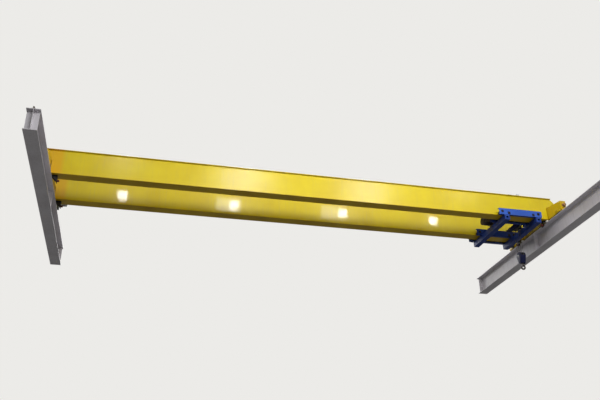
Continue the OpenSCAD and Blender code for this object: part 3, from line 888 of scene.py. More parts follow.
def block(low: Point, high: Point, round_off: float = 0.002, segments: int = 1) -> Solid:
    """Makes a plate or box with rounded edges.

    Args:
        low: Its lowest corner.
        high: Its highest corner.
        round_off: How far its edges are rounded.
        segments: Steps of that rounding.

    Returns:
        The plate.
    """
    deselect()
    low_corner, high_corner = Vector(low), Vector(high)
    bpy.ops.mesh.primitive_cube_add(size=1, location=(low_corner + high_corner) / 2)
    work = bpy.context.object
    work.scale = high_corner - low_corner
    bpy.ops.object.transform_apply(location=True, rotation=True, scale=True)
    with editing(work):
        bpy.ops.mesh.bevel(offset=round_off, segments=segments, affect="EDGES")
    return work


def prism(outline: Outline, place: Matrix, depth: float, round_off: float = 0.0, segments: int = 1) -> Solid:
    """Makes a plate or bar cut to an outline.

    Args:
        outline: Corner points in the place's X and Y.
        place: Where the outline lies.
        depth: The thickness, along the place's Z.
        round_off: How far its rims are rounded, or 0.
        segments: Steps of that rounding.

    Returns:
        The plate.
    """
    deselect()
    bpy.ops.mesh.primitive_circle_add(vertices=len(outline), fill_type="NGON")
    work = bpy.context.object
    for vertex, (x, y) in zip(work.data.vertices, outline):
        vertex.co = (x, y, 0)
    with editing(work):
        bpy.ops.mesh.extrude_region_move(TRANSFORM_OT_translate={"value": (0, 0, depth)})
        bpy.ops.mesh.select_all(action="SELECT")
        bpy.ops.mesh.normals_make_consistent(inside=False)
        if round_off:
            pick_faces(work, lambda f: abs(f.normal.z) > 0.9)
            bpy.ops.mesh.bevel(offset=round_off, segments=segments, affect="EDGES")
    return settle(work, place)


def turned(profile: Outline, place: Matrix, steps: int = 32, angle: float = 2 * math.pi) -> Solid:
    """Makes a turned part, spun from half of its section.

    Args:
        profile: Closed outline of radius and height.
        place: Where the part goes. Its axis is the place's Z.
        steps: Flats round it.
        angle: How far it is spun.

    Returns:
        The turned part.
    """
    deselect()
    bpy.ops.mesh.primitive_circle_add(vertices=len(profile), fill_type="NOTHING")
    work = bpy.context.object
    for vertex, (radius, height) in zip(work.data.vertices, profile):
        vertex.co = (radius, 0, height)
    with editing(work):
        bpy.ops.mesh.select_mode(type="EDGE")
        bpy.ops.mesh.select_all(action="SELECT")
        bpy.ops.mesh.spin(steps=steps, angle=angle, center=(0, 0, 0), axis=(0, 0, 1))
        bpy.ops.mesh.select_all(action="SELECT")
        bpy.ops.mesh.remove_doubles(threshold=1e-5)
        bpy.ops.mesh.dissolve_degenerate(threshold=1e-6)
        bpy.ops.mesh.select_all(action="SELECT")
        bpy.ops.mesh.normals_make_consistent(inside=False)
    return settle(work, place)


def loft(rings: Sequence[Sequence[Point]]) -> Solid:
    """Makes a skin over rings of points, for bent forms that no operator sweeps.

    Args:
        rings: Rings with equal counts of points, the first and last of which are capped.

    Returns:
        The closed skin.
    """
    mesh = bmesh.new()
    rows = [[mesh.verts.new(p) for p in ring] for ring in rings]
    count = len(rows[0])
    for first, second in zip(rows, rows[1:]):
        for i in range(count):
            j = (i + 1) % count
            mesh.faces.new((first[i], first[j], second[j], second[i]))
    mesh.faces.new(rows[0][::-1])
    mesh.faces.new(rows[-1])
    bmesh.ops.recalc_face_normals(mesh, faces=mesh.faces)
    data = bpy.data.meshes.new("loft")
    mesh.to_mesh(data)
    mesh.free()
    work = bpy.data.objects.new("loft", data)
    bpy.context.scene.collection.objects.link(work)
    return work


def headings(path: Sequence[Vector]) -> Iterator[Vector]:
    """Yields the direction of a path at each of its points.

    Args:
        path: The points.

    Returns:
        One unit vector a point.
    """
    for i in range(len(path)):
        yield (path[min(i + 1, len(path) - 1)] - path[max(i - 1, 0)]).normalized()


def tube(points: Sequence[Point], radius: float, sides: int = 10) -> Solid:
    """Bends a round bar or cable along points.

    Args:
        points: The points.
        radius: The bar's radius.
        sides: Flats round it.

    Returns:
        The bar.
    """
    path = [Vector(p) for p in points]
    rings = []
    side = Vector((0, 0, 1))
    for point, along in zip(path, headings(path)):
        if abs(side.dot(along)) > 0.95:
            side = Vector((1, 0, 0)) if abs(along.x) < 0.9 else Vector((0, 1, 0))
        side = (side - along * side.dot(along)).normalized()
        other = along.cross(side)
        flats = (polar(radius, 2 * math.pi * k / sides) for k in range(sides))
        rings.append([point + u * side + v * other for u, v in flats])
    return loft(rings)


def bolt(size: float) -> Solid:
    """Makes a hexagon bolt head on a washer that is half sunk in the XY plane.

    Args:
        size: The bolt's thread diameter.

    Returns:
        The bolt head.
    """
    deselect()
    bpy.ops.mesh.primitive_cylinder_add(vertices=16, radius=1.05 * size, depth=0.2 * size)
    washer = bpy.context.object
    bpy.ops.mesh.primitive_cylinder_add(
        vertices=6, radius=0.88 * size, depth=0.6 * size, location=(0, 0, 0.4 * size)
    )
    head = bpy.context.object
    with editing(head):
        pick_faces(head, lambda f: f.normal.z > 0.9)
        bpy.ops.mesh.inset(thickness=0.12 * size, depth=0.06 * size)
    return join([washer, head])


@dataclass
class Piece:
    """One finished piece: parts are added, joined, dressed and put on a CAD body."""

    name: str
    body: Body
    finish: Finish
    parts: list[Solid] = field(default_factory=list)

    def add(self, *parts: Solid, place: Matrix | None = None) -> "Piece":
        """Adds parts.

        Args:
            parts: The parts.
            place: Where they are moved to, if they aren't there yet.

        Returns:
            The piece.
        """
        self.parts.extend(parts if place is None else [settle(part, place) for part in parts])
        return self

    def done(self, replaces: Sequence[str] = (), smooth: float = 35.0, ride: bool = True) -> Solid:
        """Joins, names, dresses and mounts the piece.

        Args:
            replaces: CAD nodes that the piece stands for.
            smooth: Edges flatter than this many degrees are shaded smooth.
            ride: Whether the piece rides on its body alone.

        Returns:
            The finished object.
        """
        work = join(self.parts)
        work.name = work.data.name = self.name
        settle(work, work.matrix_world.copy())
        work.data.materials.clear()
        work.data.materials.append(self.finish.material())
        bpy.ops.object.shade_smooth_by_angle(angle=math.radians(smooth))
        if ride:
            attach(work, self.body.value)
        if replaces:
            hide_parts(*replaces)
        LOG.info("%s: %d faces on %s", self.name, len(work.data.polygons), self.body.value)
        return work


# Runway


@dataclass
class Runway:
    """The two runway beams with their rails."""

    beams: tuple[tuple[str, float], ...] = (("left", 0.0), ("right", 26.05))
    bay: float = 7.0
    bay_gap: float = 0.009
    end_gap: float = 0.002
    beam_h: float = 1.0
    flange_t: float = 0.03
    web_t: float = 0.016
    foot_w: float = 0.15
    clip_pitch: float = 0.7
    clip_len: float = 0.06
    weld: float = 0.012

    def build(self) -> None:
        """Builds the rail clips and the beams' welds."""
        for side, x in self.beams:
            self.clips(side, x)
            self.welds(side, x)

    def clips(self, side: str, x: float) -> None:
        """Clamps one rail's foot down with bolted clips on both sides.

        Args:
            side: Name of the beam.
            x: Place of its rail.
        """
        edge = self.foot_w / 2
        section = [
            (edge + 0.004, 0), (edge + 0.075, 0), (edge + 0.075, 0.014), (edge + 0.02, 0.03),
            (edge - 0.028, 0.034), (edge - 0.028, 0.016), (edge + 0.004, 0.013),
        ]
        plate = prism(section, axes((0, -self.clip_len / 2, 0), (1, 0, 0), (0, 0, 1)), -self.clip_len, 0.002)
        stud = settle(bolt(0.02), facing((edge + 0.048, 0, 0.02), (0.25, 0, 1)))
        count = int(2 * self.bay / self.clip_pitch)
        rows = [-self.bay + self.clip_pitch * (i + 0.5) for i in range(count)]
        places = [spot(x, y, self.beam_h) @ spun(turn) for y in rows for turn in (0.0, math.pi)]
        Piece(f"{side}_rail_clips", Body.RUNWAY, BOLT_STEEL).add(copies(join([plate, stud]), places)).done()

    def welds(self, side: str, x: float) -> None:
        """Lays the fillet welds between one beam's web and its flanges, bay by bay.

        Args:
            side: Name of the beam.
            x: Place of its rail.
        """
        bead = Piece(f"{side}_beam_welds", Body.RUNWAY, RUNWAY_PAINT)
        corner = fillet(self.web_t / 2, self.weld, 0.75)
        length = self.bay - self.end_gap - self.bay_gap
        for way in (-1, 1):
            for z, up in ((self.flange_t, 1), (self.beam_h - self.flange_t, -1)):
                for y in (-self.bay_gap, self.bay - self.end_gap):
                    back = axes((x, y, z), (1, 0, 0), (0, 0, 1))
                    bead.add(prism(scaled(corner, way, up), back, length))
        bead.done(smooth=50)


# Bridge


@dataclass
class Girders:
    """The two box girders of the bridge, with what is fixed to them."""

    gauge: float = 2.65
    box_w: float = 0.4
    flange_w: float = 0.56
    low_z: float = 1.15
    high_z: float = 2.41
    top_z: float = 2.43
    web_x: tuple[float, float] = (0.18, 25.87)
    flange_x: tuple[float, float] = (-0.16, 26.2)
    weld: float = 0.01
    seam_x: tuple[float, ...] = (8.1, 16.1)
    eye_x: tuple[float, ...] = (6.5, 19.5)
    bar_x: tuple[float, float] = (0.5, 25.5)
    bar_z: float = 1.86
    bar_out: float = 0.14
    bracket_x: float = 1.0
    bracket_pitch: float = 1.5
    switch_x: float = 24.26

    def build(self) -> None:
        """Builds the welds, seams, lifting eyes, conductor bar and limit switch."""
        for name, side in (("near", -1), ("far", 1)):
            self.welds(name, side)
            self.seams(name, side)
            self.eyes(name, side)
        self.conductor()
        self.limit_switch()

    def welds(self, name: str, side: int) -> None:
        """Lays one girder's long fillet welds between webs and flanges.

        Args:
            name: Name of the girder.
            side: Its side of the bridge's middle.
        """
        bead = Piece(f"{name}_girder_welds", Body.BRIDGE, GIRDER_PAINT)
        corner = fillet(self.box_w / 2, self.weld, 0.7)
        for way in (-1, 1):
            for z, up, (x0, x1) in ((self.low_z, 1, self.web_x), (self.high_z, -1, self.flange_x)):
                start = axes((x0 + 0.01, side * self.gauge / 2, z), (0, 1, 0), (0, 0, 1))
                bead.add(prism(scaled(corner, way, up), start, x1 - x0 - 0.02))
        bead.done(smooth=50)

    def seams(self, name: str, side: int) -> None:
        """Raises the ground butt welds where the plates of one girder's webs meet.

        Args:
            name: Name of the girder.
            side: Its side of the bridge's middle.
        """
        bead = Piece(f"{name}_web_seams", Body.BRIDGE, GIRDER_PAINT)
        section = [(-0.011, -0.001), (-0.006, 0.0018), (0, 0.0026), (0.006, 0.0018), (0.011, -0.001)]
        for x in self.seam_x:
            for way in (-1, 1):
                face = side * self.gauge / 2 + way * self.box_w / 2
                height = self.high_z - self.low_z - 0.02
                bead.add(prism(scaled(section, 1, way), spot(x, face, self.low_z + 0.01), height))
        bead.done(smooth=60)

    def eyes(self, name: str, side: int) -> None:
        """Welds lifting eyes on one girder's top flange.

        Args:
            name: Name of the girder.
            side: Its side of the bridge's middle.
        """
        plates = Piece(f"{name}_lifting_eyes", Body.BRIDGE, GIRDER_PAINT)
        thick, hole_z = 0.02, 0.062
        top = [(1.2 * x, hole_z + y) for x, y in arc(0.05, 0, math.pi, 8)]
        for x in self.eye_x:
            back = axes((x, side * self.gauge / 2 + thick / 2, self.top_z - 0.001), (1, 0, 0), (0, 0, 1))
            lug = prism([(0.09, 0.0)] + top + [(-0.09, 0.0)], back, thick, 0.002)
            ring = turned(band(0.02, 0.036, -0.004, thick + 0.004), back @ spot(0, hole_z, 0), 20)
            plates.add(lug, ring)
        plates.done()

    def conductor(self) -> None:
        """Runs an enclosed conductor bar on brackets along the near girder's inner web."""
        web_y = -self.gauge / 2 + self.box_w / 2
        start, end = self.bar_x
        section = [
            (-0.028, -0.045), (-0.02, -0.045), (-0.02, 0.03), (0.02, 0.03),
            (0.02, -0.045), (0.028, -0.045), (0.028, 0.042), (-0.028, 0.042),
        ]
        place = axes((start, web_y + self.bar_out, self.bar_z), (0, 1, 0), (0, 0, 1))
        bar = Piece("conductor_bar", Body.BRIDGE, CABLE_RUBBER)
        bar.add(prism(section, place, end - start)).done(smooth=20)
        foot = block((-0.03, -0.001, 0.0), (0.03, 0.006, 0.12), 0.001)
        outline = [(0.0, 0.03), (0.18, 0.045), (0.18, 0.054), (0.0, 0.075)]
        arm = prism(outline, axes((-0.003, 0, 0), (0, 1, 0), (0, 0, 1)), 0.006)
        count = int((end - self.bracket_x) / self.bracket_pitch) + 1
        places = [spot(self.bracket_x + self.bracket_pitch * i, web_y, self.bar_z) for i in range(count)]
        Piece("conductor_brackets", Body.BRIDGE, ZINC).add(copies(join([foot, arm]), places)).done()

    def limit_switch(self) -> None:
        """Fixes a small travel limit switch and its bracket at the near girder's top edge."""
        base = spot(self.switch_x, -self.gauge / 2 - self.flange_w / 2, self.top_z)
        box = Piece("limit_switch", Body.BRIDGE, MOTOR_PAINT)
        box.add(block((-0.08, 0.01, 0), (0.08, 0.11, 0.085), 0.008, 2), place=base)
        cap = [(0, 0), (0.026, 0), (0.026, 0.03), (0.018, 0.04), (0, 0.04)]
        box.add(turned(cap, base @ facing((0, 0.06, 0.075), (0, 0, 1)), 20)).done()
        arm = Piece("limit_switch_arm", Body.BRIDGE, BOLT_STEEL)
        arm.add(block((-0.6, 0.002, -0.02), (-0.4, 0.05, 0.012), 0.003), place=base)
        arm.add(tube([(-0.4, 0.03, 0.008), (-0.24, 0.035, 0.008), (-0.07, 0.06, 0.03)], 0.009), place=base)
        arm.done()


@dataclass(frozen=True)
class Motor:
    """A fan-cooled squirrel-cage motor in a cast housing, standing on its flange.

    Its axis is the place's Z and its terminal box faces the place's X. The profiles are
    shares of its radius and length.
    """

    length: float
    diameter: float
    fins: int
    core: float = 0.84
    frame_profile: Outline = (
        (0, 0), (0.95, 0), (0.95, 0.05), (0.72, 0.06), (0.84, 0.12), (0.84, 0.74), (0.8, 0.77), (0, 0.77),
    )
    fin_profile: Outline = ((-0.022, 0), (0.022, 0), (0.012, 0.175), (-0.012, 0.175))
    cowl_profile: Outline = (
        (0.94, 0.7), (0.96, 0.7), (0.96, 0.95), (0.86, 0.998),
        (0.8, 1.0), (0.78, 0.985), (0.85, 0.975), (0.94, 0.94),
    )
    grille: tuple[float, ...] = (0.18, 0.36, 0.54, 0.7)

    def housing(self, place: Matrix) -> list[Solid]:
        """Builds flange, end shields, finned body and terminal box.

        Args:
            place: The middle of the flange, with Z along the shaft.

        Returns:
            The parts, not joined.
        """
        size, length = self.diameter / 2, self.length
        core = self.core * size
        body = turned(scaled(self.frame_profile, size, length), place, 40)
        root = axes((0.98 * core, 0, 0.14 * length), (0, 1, 0), (1, 0, 0))
        fin = prism(scaled(self.fin_profile, size, size), root, -0.58 * length)
        turns = (spun(2 * math.pi * (i + 0.5) / self.fins) for i in range(self.fins))
        ribs = copies(fin, [place @ turn for turn in turns])
        case = join(self.terminal_box(size, length, core))
        return [body, ribs, settle(case, place)]

    def terminal_box(self, size: float, length: float, core: float) -> list[Solid]:
        """Builds the terminal box with its lid and gland, the lifting eye and the flange's bolts.

        Args:
            size: The motor's radius.
            length: Its length.
            core: Its radius without the fins.

        Returns:
            The parts, about the motor's own axis.
        """
        wide, lip, lid_t = 0.62 * size, 0.006, 0.012
        face, low = core + 0.3 * size, 0.3 * length
        high = low + 2 * wide
        box = block((core - 0.06 * size, -wide, low), (face, wide, high), 0.008, 2)
        lid = block((face, -wide - lip, low - lip), (face + lid_t, wide + lip, high + lip), 0.003)
        inset = wide - 0.012
        corners = [
            axes((face + lid_t, y, (low + high) / 2 + z), (0, 1, 0), (0, 0, 1))
            for y in (-inset, inset)
            for z in (-inset, inset)
        ]
        gland = turned(
            [(0, 0), (0.018, 0), (0.018, 0.012), (0.013, 0.016), (0.013, 0.03), (0, 0.03)],
            facing((core + 0.15 * size, -wide, low + wide), (0, -1, 0)),
            6,
        )
        hung = axes((0, core + 0.02, 0.42 * length), (0, 1, 0), (0, 0, 1))
        eye = turned(band(0.012, 0.024, -0.006, 0.006), hung, 20)
        flange = round_of(spot(0, 0, 0.05 * length), 0.85 * size, 8, 0.2)
        bolts = copies(bolt(0.045 * size + 0.003), flange)
        return [box, lid, copies(bolt(0.006), corners), gland, eye, bolts]

    def cowl(self, place: Matrix) -> list[Solid]:
        """Builds the sheet fan cover with its grille.

        Args:
            place: The middle of the flange, with Z along the shaft.

        Returns:
            The parts, not joined.
        """
        size, length = self.diameter / 2, self.length
        parts = [turned(scaled(self.cowl_profile, size, length), place, 40)]
        for share in self.grille:
            wire = band(share, share + 0.045, 0.975, 0.99)
            parts.append(turned(scaled(wire, size, length), place, 32))
        low, high = (0.0, -0.03 * size, 0.965 * length), (0.84 * size, 0.03 * size, 0.978 * length)
        spoke = block(low, high, 0.001)
        parts.append(copies(spoke, [place @ spun(math.pi * i / 3) for i in range(6)]))
        return parts


@dataclass(frozen=True)
class GearCase:
    """A cast gear case shaped round a low output shaft and a higher motor shaft."""

    depth: float
    low_r: float
    high_r: float
    rise: float
    split: float = 0.42
    rim: float = 0.016

    def outline(self, grow: float = 0.0) -> list[tuple[float, float]]:
        """Draws the case round both shafts.

        Args:
            grow: How far the outline stands outside the case.

        Returns:
            Points, with the output shaft at the origin and the motor above it.
        """
        low, high = self.low_r + grow, self.high_r + grow
        tilt = math.asin((low - high) / self.rise)
        bottom = arc(low, math.pi - tilt, math.pi + 2 * tilt, 22)
        return bottom + arc(high, tilt, math.pi - 2 * tilt, 20, self.rise)

    def build(self, place: Matrix, bore: float) -> list[Solid]:
        """Builds both halves, the bolted split flange, rib, cap and plugs.

        Args:
            place: The output shaft's end in the driven face, with Z away from it.
            bore: Radius of the recess for the driven axle's end.

        Returns:
            The parts, not joined.
        """
        depth, low_r, wall = self.depth, self.low_r, self.outline(-0.012)
        half = self.split * depth
        shell = prism(wall, spot(0, 0, half), depth - half, 0.012, 3)
        back = drilled(prism(wall, HERE, half), bore, -0.006)
        rim = prism(self.outline(), spot(0, 0, half - self.rim / 2), self.rim, 0.002)
        rim_bolts = [spot(x, y, half + self.rim / 2) for x, y in self.outline(-0.006)[::3]]
        cap = turned(
            [(0, 0), (0.45 * low_r, 0), (0.5 * low_r, 0.004), (0.42 * low_r, 0.012), (0, 0.014)],
            spot(0, 0, depth - 0.001),
        )
        cap_bolts = round_of(spot(0, 0, depth + 0.002), 0.6 * low_r, 6)
        rib = prism(
            [(-0.005, 0.0), (0.005, 0.0), (0.003, 0.012), (-0.003, 0.012)],
            axes((0, 0.62 * low_r, depth - 0.002), (-1, 0, 0), (0, 0, 1)),
            0.5 * self.rise,
        )
        plugs = [
            facing((low_r - 0.014, 0.0, 0.7 * depth), (1, 0, 0)),
            facing((-self.high_r + 0.014, self.rise, 0.7 * depth), (-1, 0, 0)),
        ]
        bolts = [copies(bolt(0.007), rim_bolts), copies(bolt(0.006), cap_bolts), copies(bolt(0.011), plugs)]
        return [settle(join([shell, back, rim, cap, rib] + bolts), place)]


@dataclass
class Drives:
    """Gear cases with their motors, one of each at every driven wheel."""

    name: str
    body: Body
    case: GearCase
    motor: Motor
    bore: float

    def feet(self) -> list[Matrix]:
        """Lists where the gear cases stand.

        Returns:
            The driven axles' ends, with Z away from the wheel and Y towards the motor.
        """
        raise NotImplementedError

    def build(self) -> None:
        """Builds the gear cases, motors and cowls."""
        cases = Piece(f"{self.name}_gear_cases", self.body, GEARBOX_PAINT)
        motors = Piece(f"{self.name}_drive_motors", self.body, MOTOR_PAINT)
        cowls = Piece(f"{self.name}_motor_cowls", self.body, MOTOR_PAINT)
        for foot in self.feet():
            seat = foot @ spot(0, self.case.rise, self.case.depth) @ spun(math.pi / 2)
            cases.add(*self.case.build(foot, self.bore))
            motors.add(*self.motor.housing(seat))
            cowls.add(*self.motor.cowl(seat))
        cases.done(replaces=(f"{self.name}_gearboxes",))
        motors.done(replaces=(f"{self.name}_motors",))
        cowls.done()


def rubber_buffer(radius: float, length: float, place: Matrix) -> Solid:
    """Moulds a buffer with two waists, a rounded nose and a fixing recess.

    Args:
        radius: Radius at the foot.
        length: How far it stands out.
        place: The middle of the foot, with Z outwards.

    Returns:
        The buffer.
    """
    profile = [
        (0, 0), (1, 0), (1, 0.12), (0.86, 0.2), (0.84, 0.27), (0.93, 0.36),
        (0.94, 0.46), (0.82, 0.56), (0.8, 0.63), (0.9, 0.74), (0.87, 0.86), (0.78, 0.95),
        (0.64, 0.995), (0.5, 1), (0.22, 1), (0.2, 0.9), (0, 0.9),
    ]
    return turned(scaled(profile, radius, length), place, 44)


@dataclass
class EndTrucks:
    """The two end trucks that carry the girders along the runway."""

    rails: tuple[float, float] = (0.0, 26.05)
    width: float = 0.3
    length: float = 5.6
    low_z: float = 1.16
    mid_top: float = 1.85
    end_top: float = 1.67
    high_y: float = 1.525
    inner_y: float = 1.125
    wheel_y: float = 2.35
    axle_z: float = 1.3003
    rail_top: float = 1.1
    buffer_r: float = 0.1
    buffer_len: float = 0.15
    buffer_plate: float = 0.26
    buffer_plate_t: float = 0.016

    def build(self) -> None:
        """Builds bearings, covers, buffers, sweeps, the girders' seats and the welds."""
        self.bearings()
        self.covers()
        for side, x in zip(("left", "right"), self.rails):
            self.buffers(side, x)
        self.sweeps()
        self.seats()
        self.edge_welds()

    def faces(self) -> list[tuple[float, int, int]]:
        """Lists the axle ends on the trucks' sides, without the driven ones.

        Returns:
            Rail X, side of the truck and end of the truck.
        """
        every = [(x, side, end) for x in self.rails for side in (-1, 1) for end in (-1, 1)]
        driven = [(self.rails[0], 1, 1), (self.rails[1], -1, 1)]
        return [face for face in every if face not in driven]

    def bearings(self) -> None:
        """Covers the axle ends with cast bearing caps, bolted all round."""
        profile = [
            (0, 0.04), (0.05, 0.04), (0.06, 0.035), (0.066, 0.022), (0.112, 0.02),
            (0.118, 0.014), (0.118, 0.005), (0.053, 0.005), (0.053, 0.034), (0, 0.034),
        ]
        cap = turned(profile, HERE, 44)
        bolts = copies(bolt(0.012), round_of(spot(0, 0, 0.018), 0.091, 8))
        nipple = [(0, 0), (0.006, 0), (0.006, 0.008), (0.003, 0.014), (0, 0.014)]
        model = join([cap, bolts, turned(nipple, spot(0, 0, 0.039), 12)])
        places = [
            facing((x + side * self.width / 2, end * self.wheel_y, self.axle_z), (side, 0, 0))
            for x, side, end in self.faces()
        ]
        Piece("axle_bearing_caps", Body.BRIDGE, TRUCK_PAINT).add(copies(model, places)).done()

    def covers(self) -> None:
        """Bolts a reinforcing plate behind each bearing cap."""
        reach, thick = 0.15, 0.01
        outline = arc(reach, 0, math.pi, 16) + [(-reach, -0.1), (reach, -0.1)]
        plate = drilled(prism(outline, HERE, thick), 0.056)
        spots = [polar(0.132, a) for a in (0.3, 1.0, 2.14, 2.84)] + [(-0.13, -0.08), (0.13, -0.08)]
        model = join([plate, copies(bolt(0.012), [spot(u, v, thick) for u, v in spots])])
        out = self.width / 2 - 0.001
        places = [
            axes((x + side * out, end * self.wheel_y, self.axle_z), (0, side, 0), (0, 0, 1))
            for x, side, end in self.faces()
        ]
        Piece("axle_side_plates", Body.BRIDGE, TRUCK_PAINT).add(copies(model, places)).done()

    def buffers(self, side: str, x: float) -> None:
        """Builds one truck's buffers on their bolted plates.

        Args:
            side: Name of the truck.
            x: Place of its rail.
        """
        rubber = Piece(f"{side}_buffer_pair", Body.BRIDGE, BUFFER_RUBBER)
        plates = Piece(f"{side}_buffer_plates", Body.BRIDGE, TRUCK_PAINT)
        half, thick, pitch = self.buffer_plate / 2, self.buffer_plate_t, 0.108
        for way in (-1, 1):
            middle = (x, way * self.length / 2, (self.low_z + self.end_top) / 2)
            foot = axes(middle, (-1, 0, 0), (0, 0, way))
            plates.add(block((-half, -half, 0), (half, half, thick), 0.003), place=foot)
            corners = [foot @ spot(u, v, thick) for u in (-pitch, pitch) for v in (-pitch, pitch)]
            plates.add(copies(bolt(0.014), corners))
            rubber.add(rubber_buffer(self.buffer_r, self.buffer_len - thick, foot @ spot(0, 0, thick)))
        plates.done()
        rubber.done(replaces=(f"{side}_truck_buffers",), smooth=50)

    def sweeps(self) -> None:
        """Hangs a notched sweep plate over the rail at each truck's end."""
        half, slot = 0.11, 0.055
        outline = [
            (-half, 0.065), (-half, -0.045), (-slot, -0.045), (-slot, 0.018),
            (slot, 0.018), (slot, -0.045), (half, -0.045), (half, 0.065),
        ]
        plate = prism(outline, axes((0, 0.006, 0), (1, 0, 0), (0, 0, 1)), 0.012, 0.0015)
        foot = block((-half, -0.06, 0.046), (half, 0.0, 0.0605), 0.002)
        fixings = [axes((u, 0.006, 0.035), (-1, 0, 0), (0, 0, 1)) for u in (-0.085, 0.085)]
        model = join([plate, foot, copies(bolt(0.012), fixings)])
        end = self.length / 2 - 0.02
        places = [
            spot(x, way * end, self.rail_top) @ spun(0.0 if way > 0 else math.pi)
            for x in self.rails
            for way in (1, -1)
        ]
        Piece("rail_sweeps", Body.BRIDGE, TRUCK_PAINT).add(copies(model, places)).done()

    def seats(self) -> None:
        """Bolts the girders down on the trucks with angle cleats and gussets."""
        thick, length = 0.014, 0.28
        angle = [(0, 0), (0.075, 0), (0.075, thick), (thick, thick), (thick, 0.09), (0, 0.09)]
        cleat = prism(angle, axes((length / 2, 0, 0), (0, 1, 0), (0, 0, 1)), -length, 0.001)
        corner = [(thick, thick), (0.07, thick), (thick, 0.08)]
        gusset = prism(corner, axes((-0.005, 0, 0), (0, 1, 0), (0, 0, 1)), 0.01)
        model = join([cleat, gusset, copies(bolt(0.018), [spot(u, 0.046, thick) for u in (-0.09, 0.09)])])
        places = [
            spot(x, side * y, self.mid_top) @ spun(0.0 if side * way > 0 else math.pi)
            for x in self.rails
            for side in (1, -1)
            for y, way in ((self.high_y, 1), (self.inner_y, -1))
        ]
        Piece("girder_seat_cleats", Body.BRIDGE, TRUCK_PAINT).add(copies(model, places)).done()

    def edge_welds(self) -> None:
        """Lays the corner welds along the trucks' lower and upper edges."""
        bead = Piece("truck_corner_welds", Body.BRIDGE, TRUCK_PAINT)
        end = self.length / 2 - 0.01
        upper = [
            (-end, self.end_top), (-self.high_y, self.mid_top),
            (self.high_y, self.mid_top), (end, self.end_top),
        ]
        lower = [(-end, self.low_z), (end, self.low_z)]
        for x in self.rails:
            for side in (-1, 1):
                edge = x + side * (self.width / 2 - 0.002)
                for line, drop in ((upper, -0.002), (lower, 0.002)):
                    bead.add(tube([(edge, y, z + drop) for y, z in line], 0.006, 8))
        bead.done(smooth=60)


@dataclass
class BridgeDrives(Drives):
    """The drives of one wheel of each end truck, on the trucks' inner faces."""

    name: str = "bridge"
    body: Body = Body.BRIDGE
    case: GearCase = GearCase(depth=0.16, low_r=0.15, high_r=0.125, rise=0.2)
    motor: Motor = Motor(length=0.38, diameter=0.22, fins=28)
    bore: float = 0.05
    faces: tuple[tuple[float, int], ...] = ((0.15, 1), (25.9, -1))
    wheel_y: float = 2.35
    axle_z: float = 1.3003

    def feet(self) -> list[Matrix]:
        """Lists where the gear cases stand.

        Returns:
            The driven axles' ends, with the motors above.
        """
        return [axes((x, self.wheel_y, self.axle_z), (0, way, 0), (0, 0, 1)) for x, way in self.faces]


@dataclass
class TrolleyStops:
    """Buffers, bolts and end switches of the stops at the girders' ends.

    Each end is given by the X of the stop's back, its length, its buffer's length and the
    way that it faces.
    """

    girder_y: float = 1.325
    ends: tuple[tuple[float, float, float, int], ...] = ((0.22, 0.3, 0.1, 1), (25.75, 0.15, 0.12, -1))
    under: float = 1.13
    buffer_z: float = 0.88
    buffer_r: float = 0.06
    switch_x: float = 25.8
    switch_h: float = 0.11

    def build(self) -> None:
        """Builds the four buffers, the stops' bolts and the end switches."""
        rubber = Piece("stop_buffer_set", Body.BRIDGE, STOP_RUBBER)
        steel = Piece("stop_bolts", Body.BRIDGE, BOLT_STEEL)
        for y in (-self.girder_y, self.girder_y):
            for x, length, reach, way in self.ends:
                seat = facing((x + way * length, y, self.buffer_z), (way, 0, 0))
                rubber.add(rubber_buffer(self.buffer_r, reach, seat))
                feet = [
                    axes((x + way * u, y + v, self.under - 0.03), (1, 0, 0), (0, -1, 0))
                    for u in (0.035, length - 0.05)
                    for v in (-0.105, 0.105)
                ]
                steel.add(copies(bolt(0.016), feet))
                backs = [
                    facing((x + way * (length - 0.03), y + v, self.buffer_z + w), (-way, 0, 0))
                    for v in (-0.03, 0.03)
                    for w in (-0.03, 0.03)
                ]
                steel.add(copies(bolt(0.01), backs))
        rubber.done(replaces=("trolley_stop_buffers",), smooth=50)
        steel.done()
        self.switches()

    def switches(self) -> None:
        """Hangs an end switch with its roller arm beside each right stop."""
        boxes = Piece("end_switch_boxes", Body.BRIDGE, SWITCH_CASE)
        arms = Piece("end_switch_arms", Body.BRIDGE, ZINC)
        for y in (-self.girder_y, self.girder_y):
            base = spot(self.switch_x, y - 0.16, self.under - self.switch_h)
            case = block((-0.06, -0.065, 0), (0.06, 0.065, self.switch_h - 0.0005), 0.014, 2)
            boxes.add(case, place=base)
            corners = [(u, v) for u in (-0.048, 0.048) for v in (0.015, 0.093)]
            screws = [base @ facing((-0.06, u, v), (-1, 0, 0)) for u, v in corners]
            boxes.add(copies(bolt(0.006), screws))
            arms.add(tube([(0, 0, 0.01), (0, 0, -0.03), (-0.2, 0, -0.06)], 0.006, 8), place=base)
            pin = base @ facing((-0.205, 0, -0.062), (0, 1, 0))
            arms.add(turned(band(0.004, 0.02, -0.008, 0.008), pin, 20))
        boxes.done()
        arms.done()


# Trolley


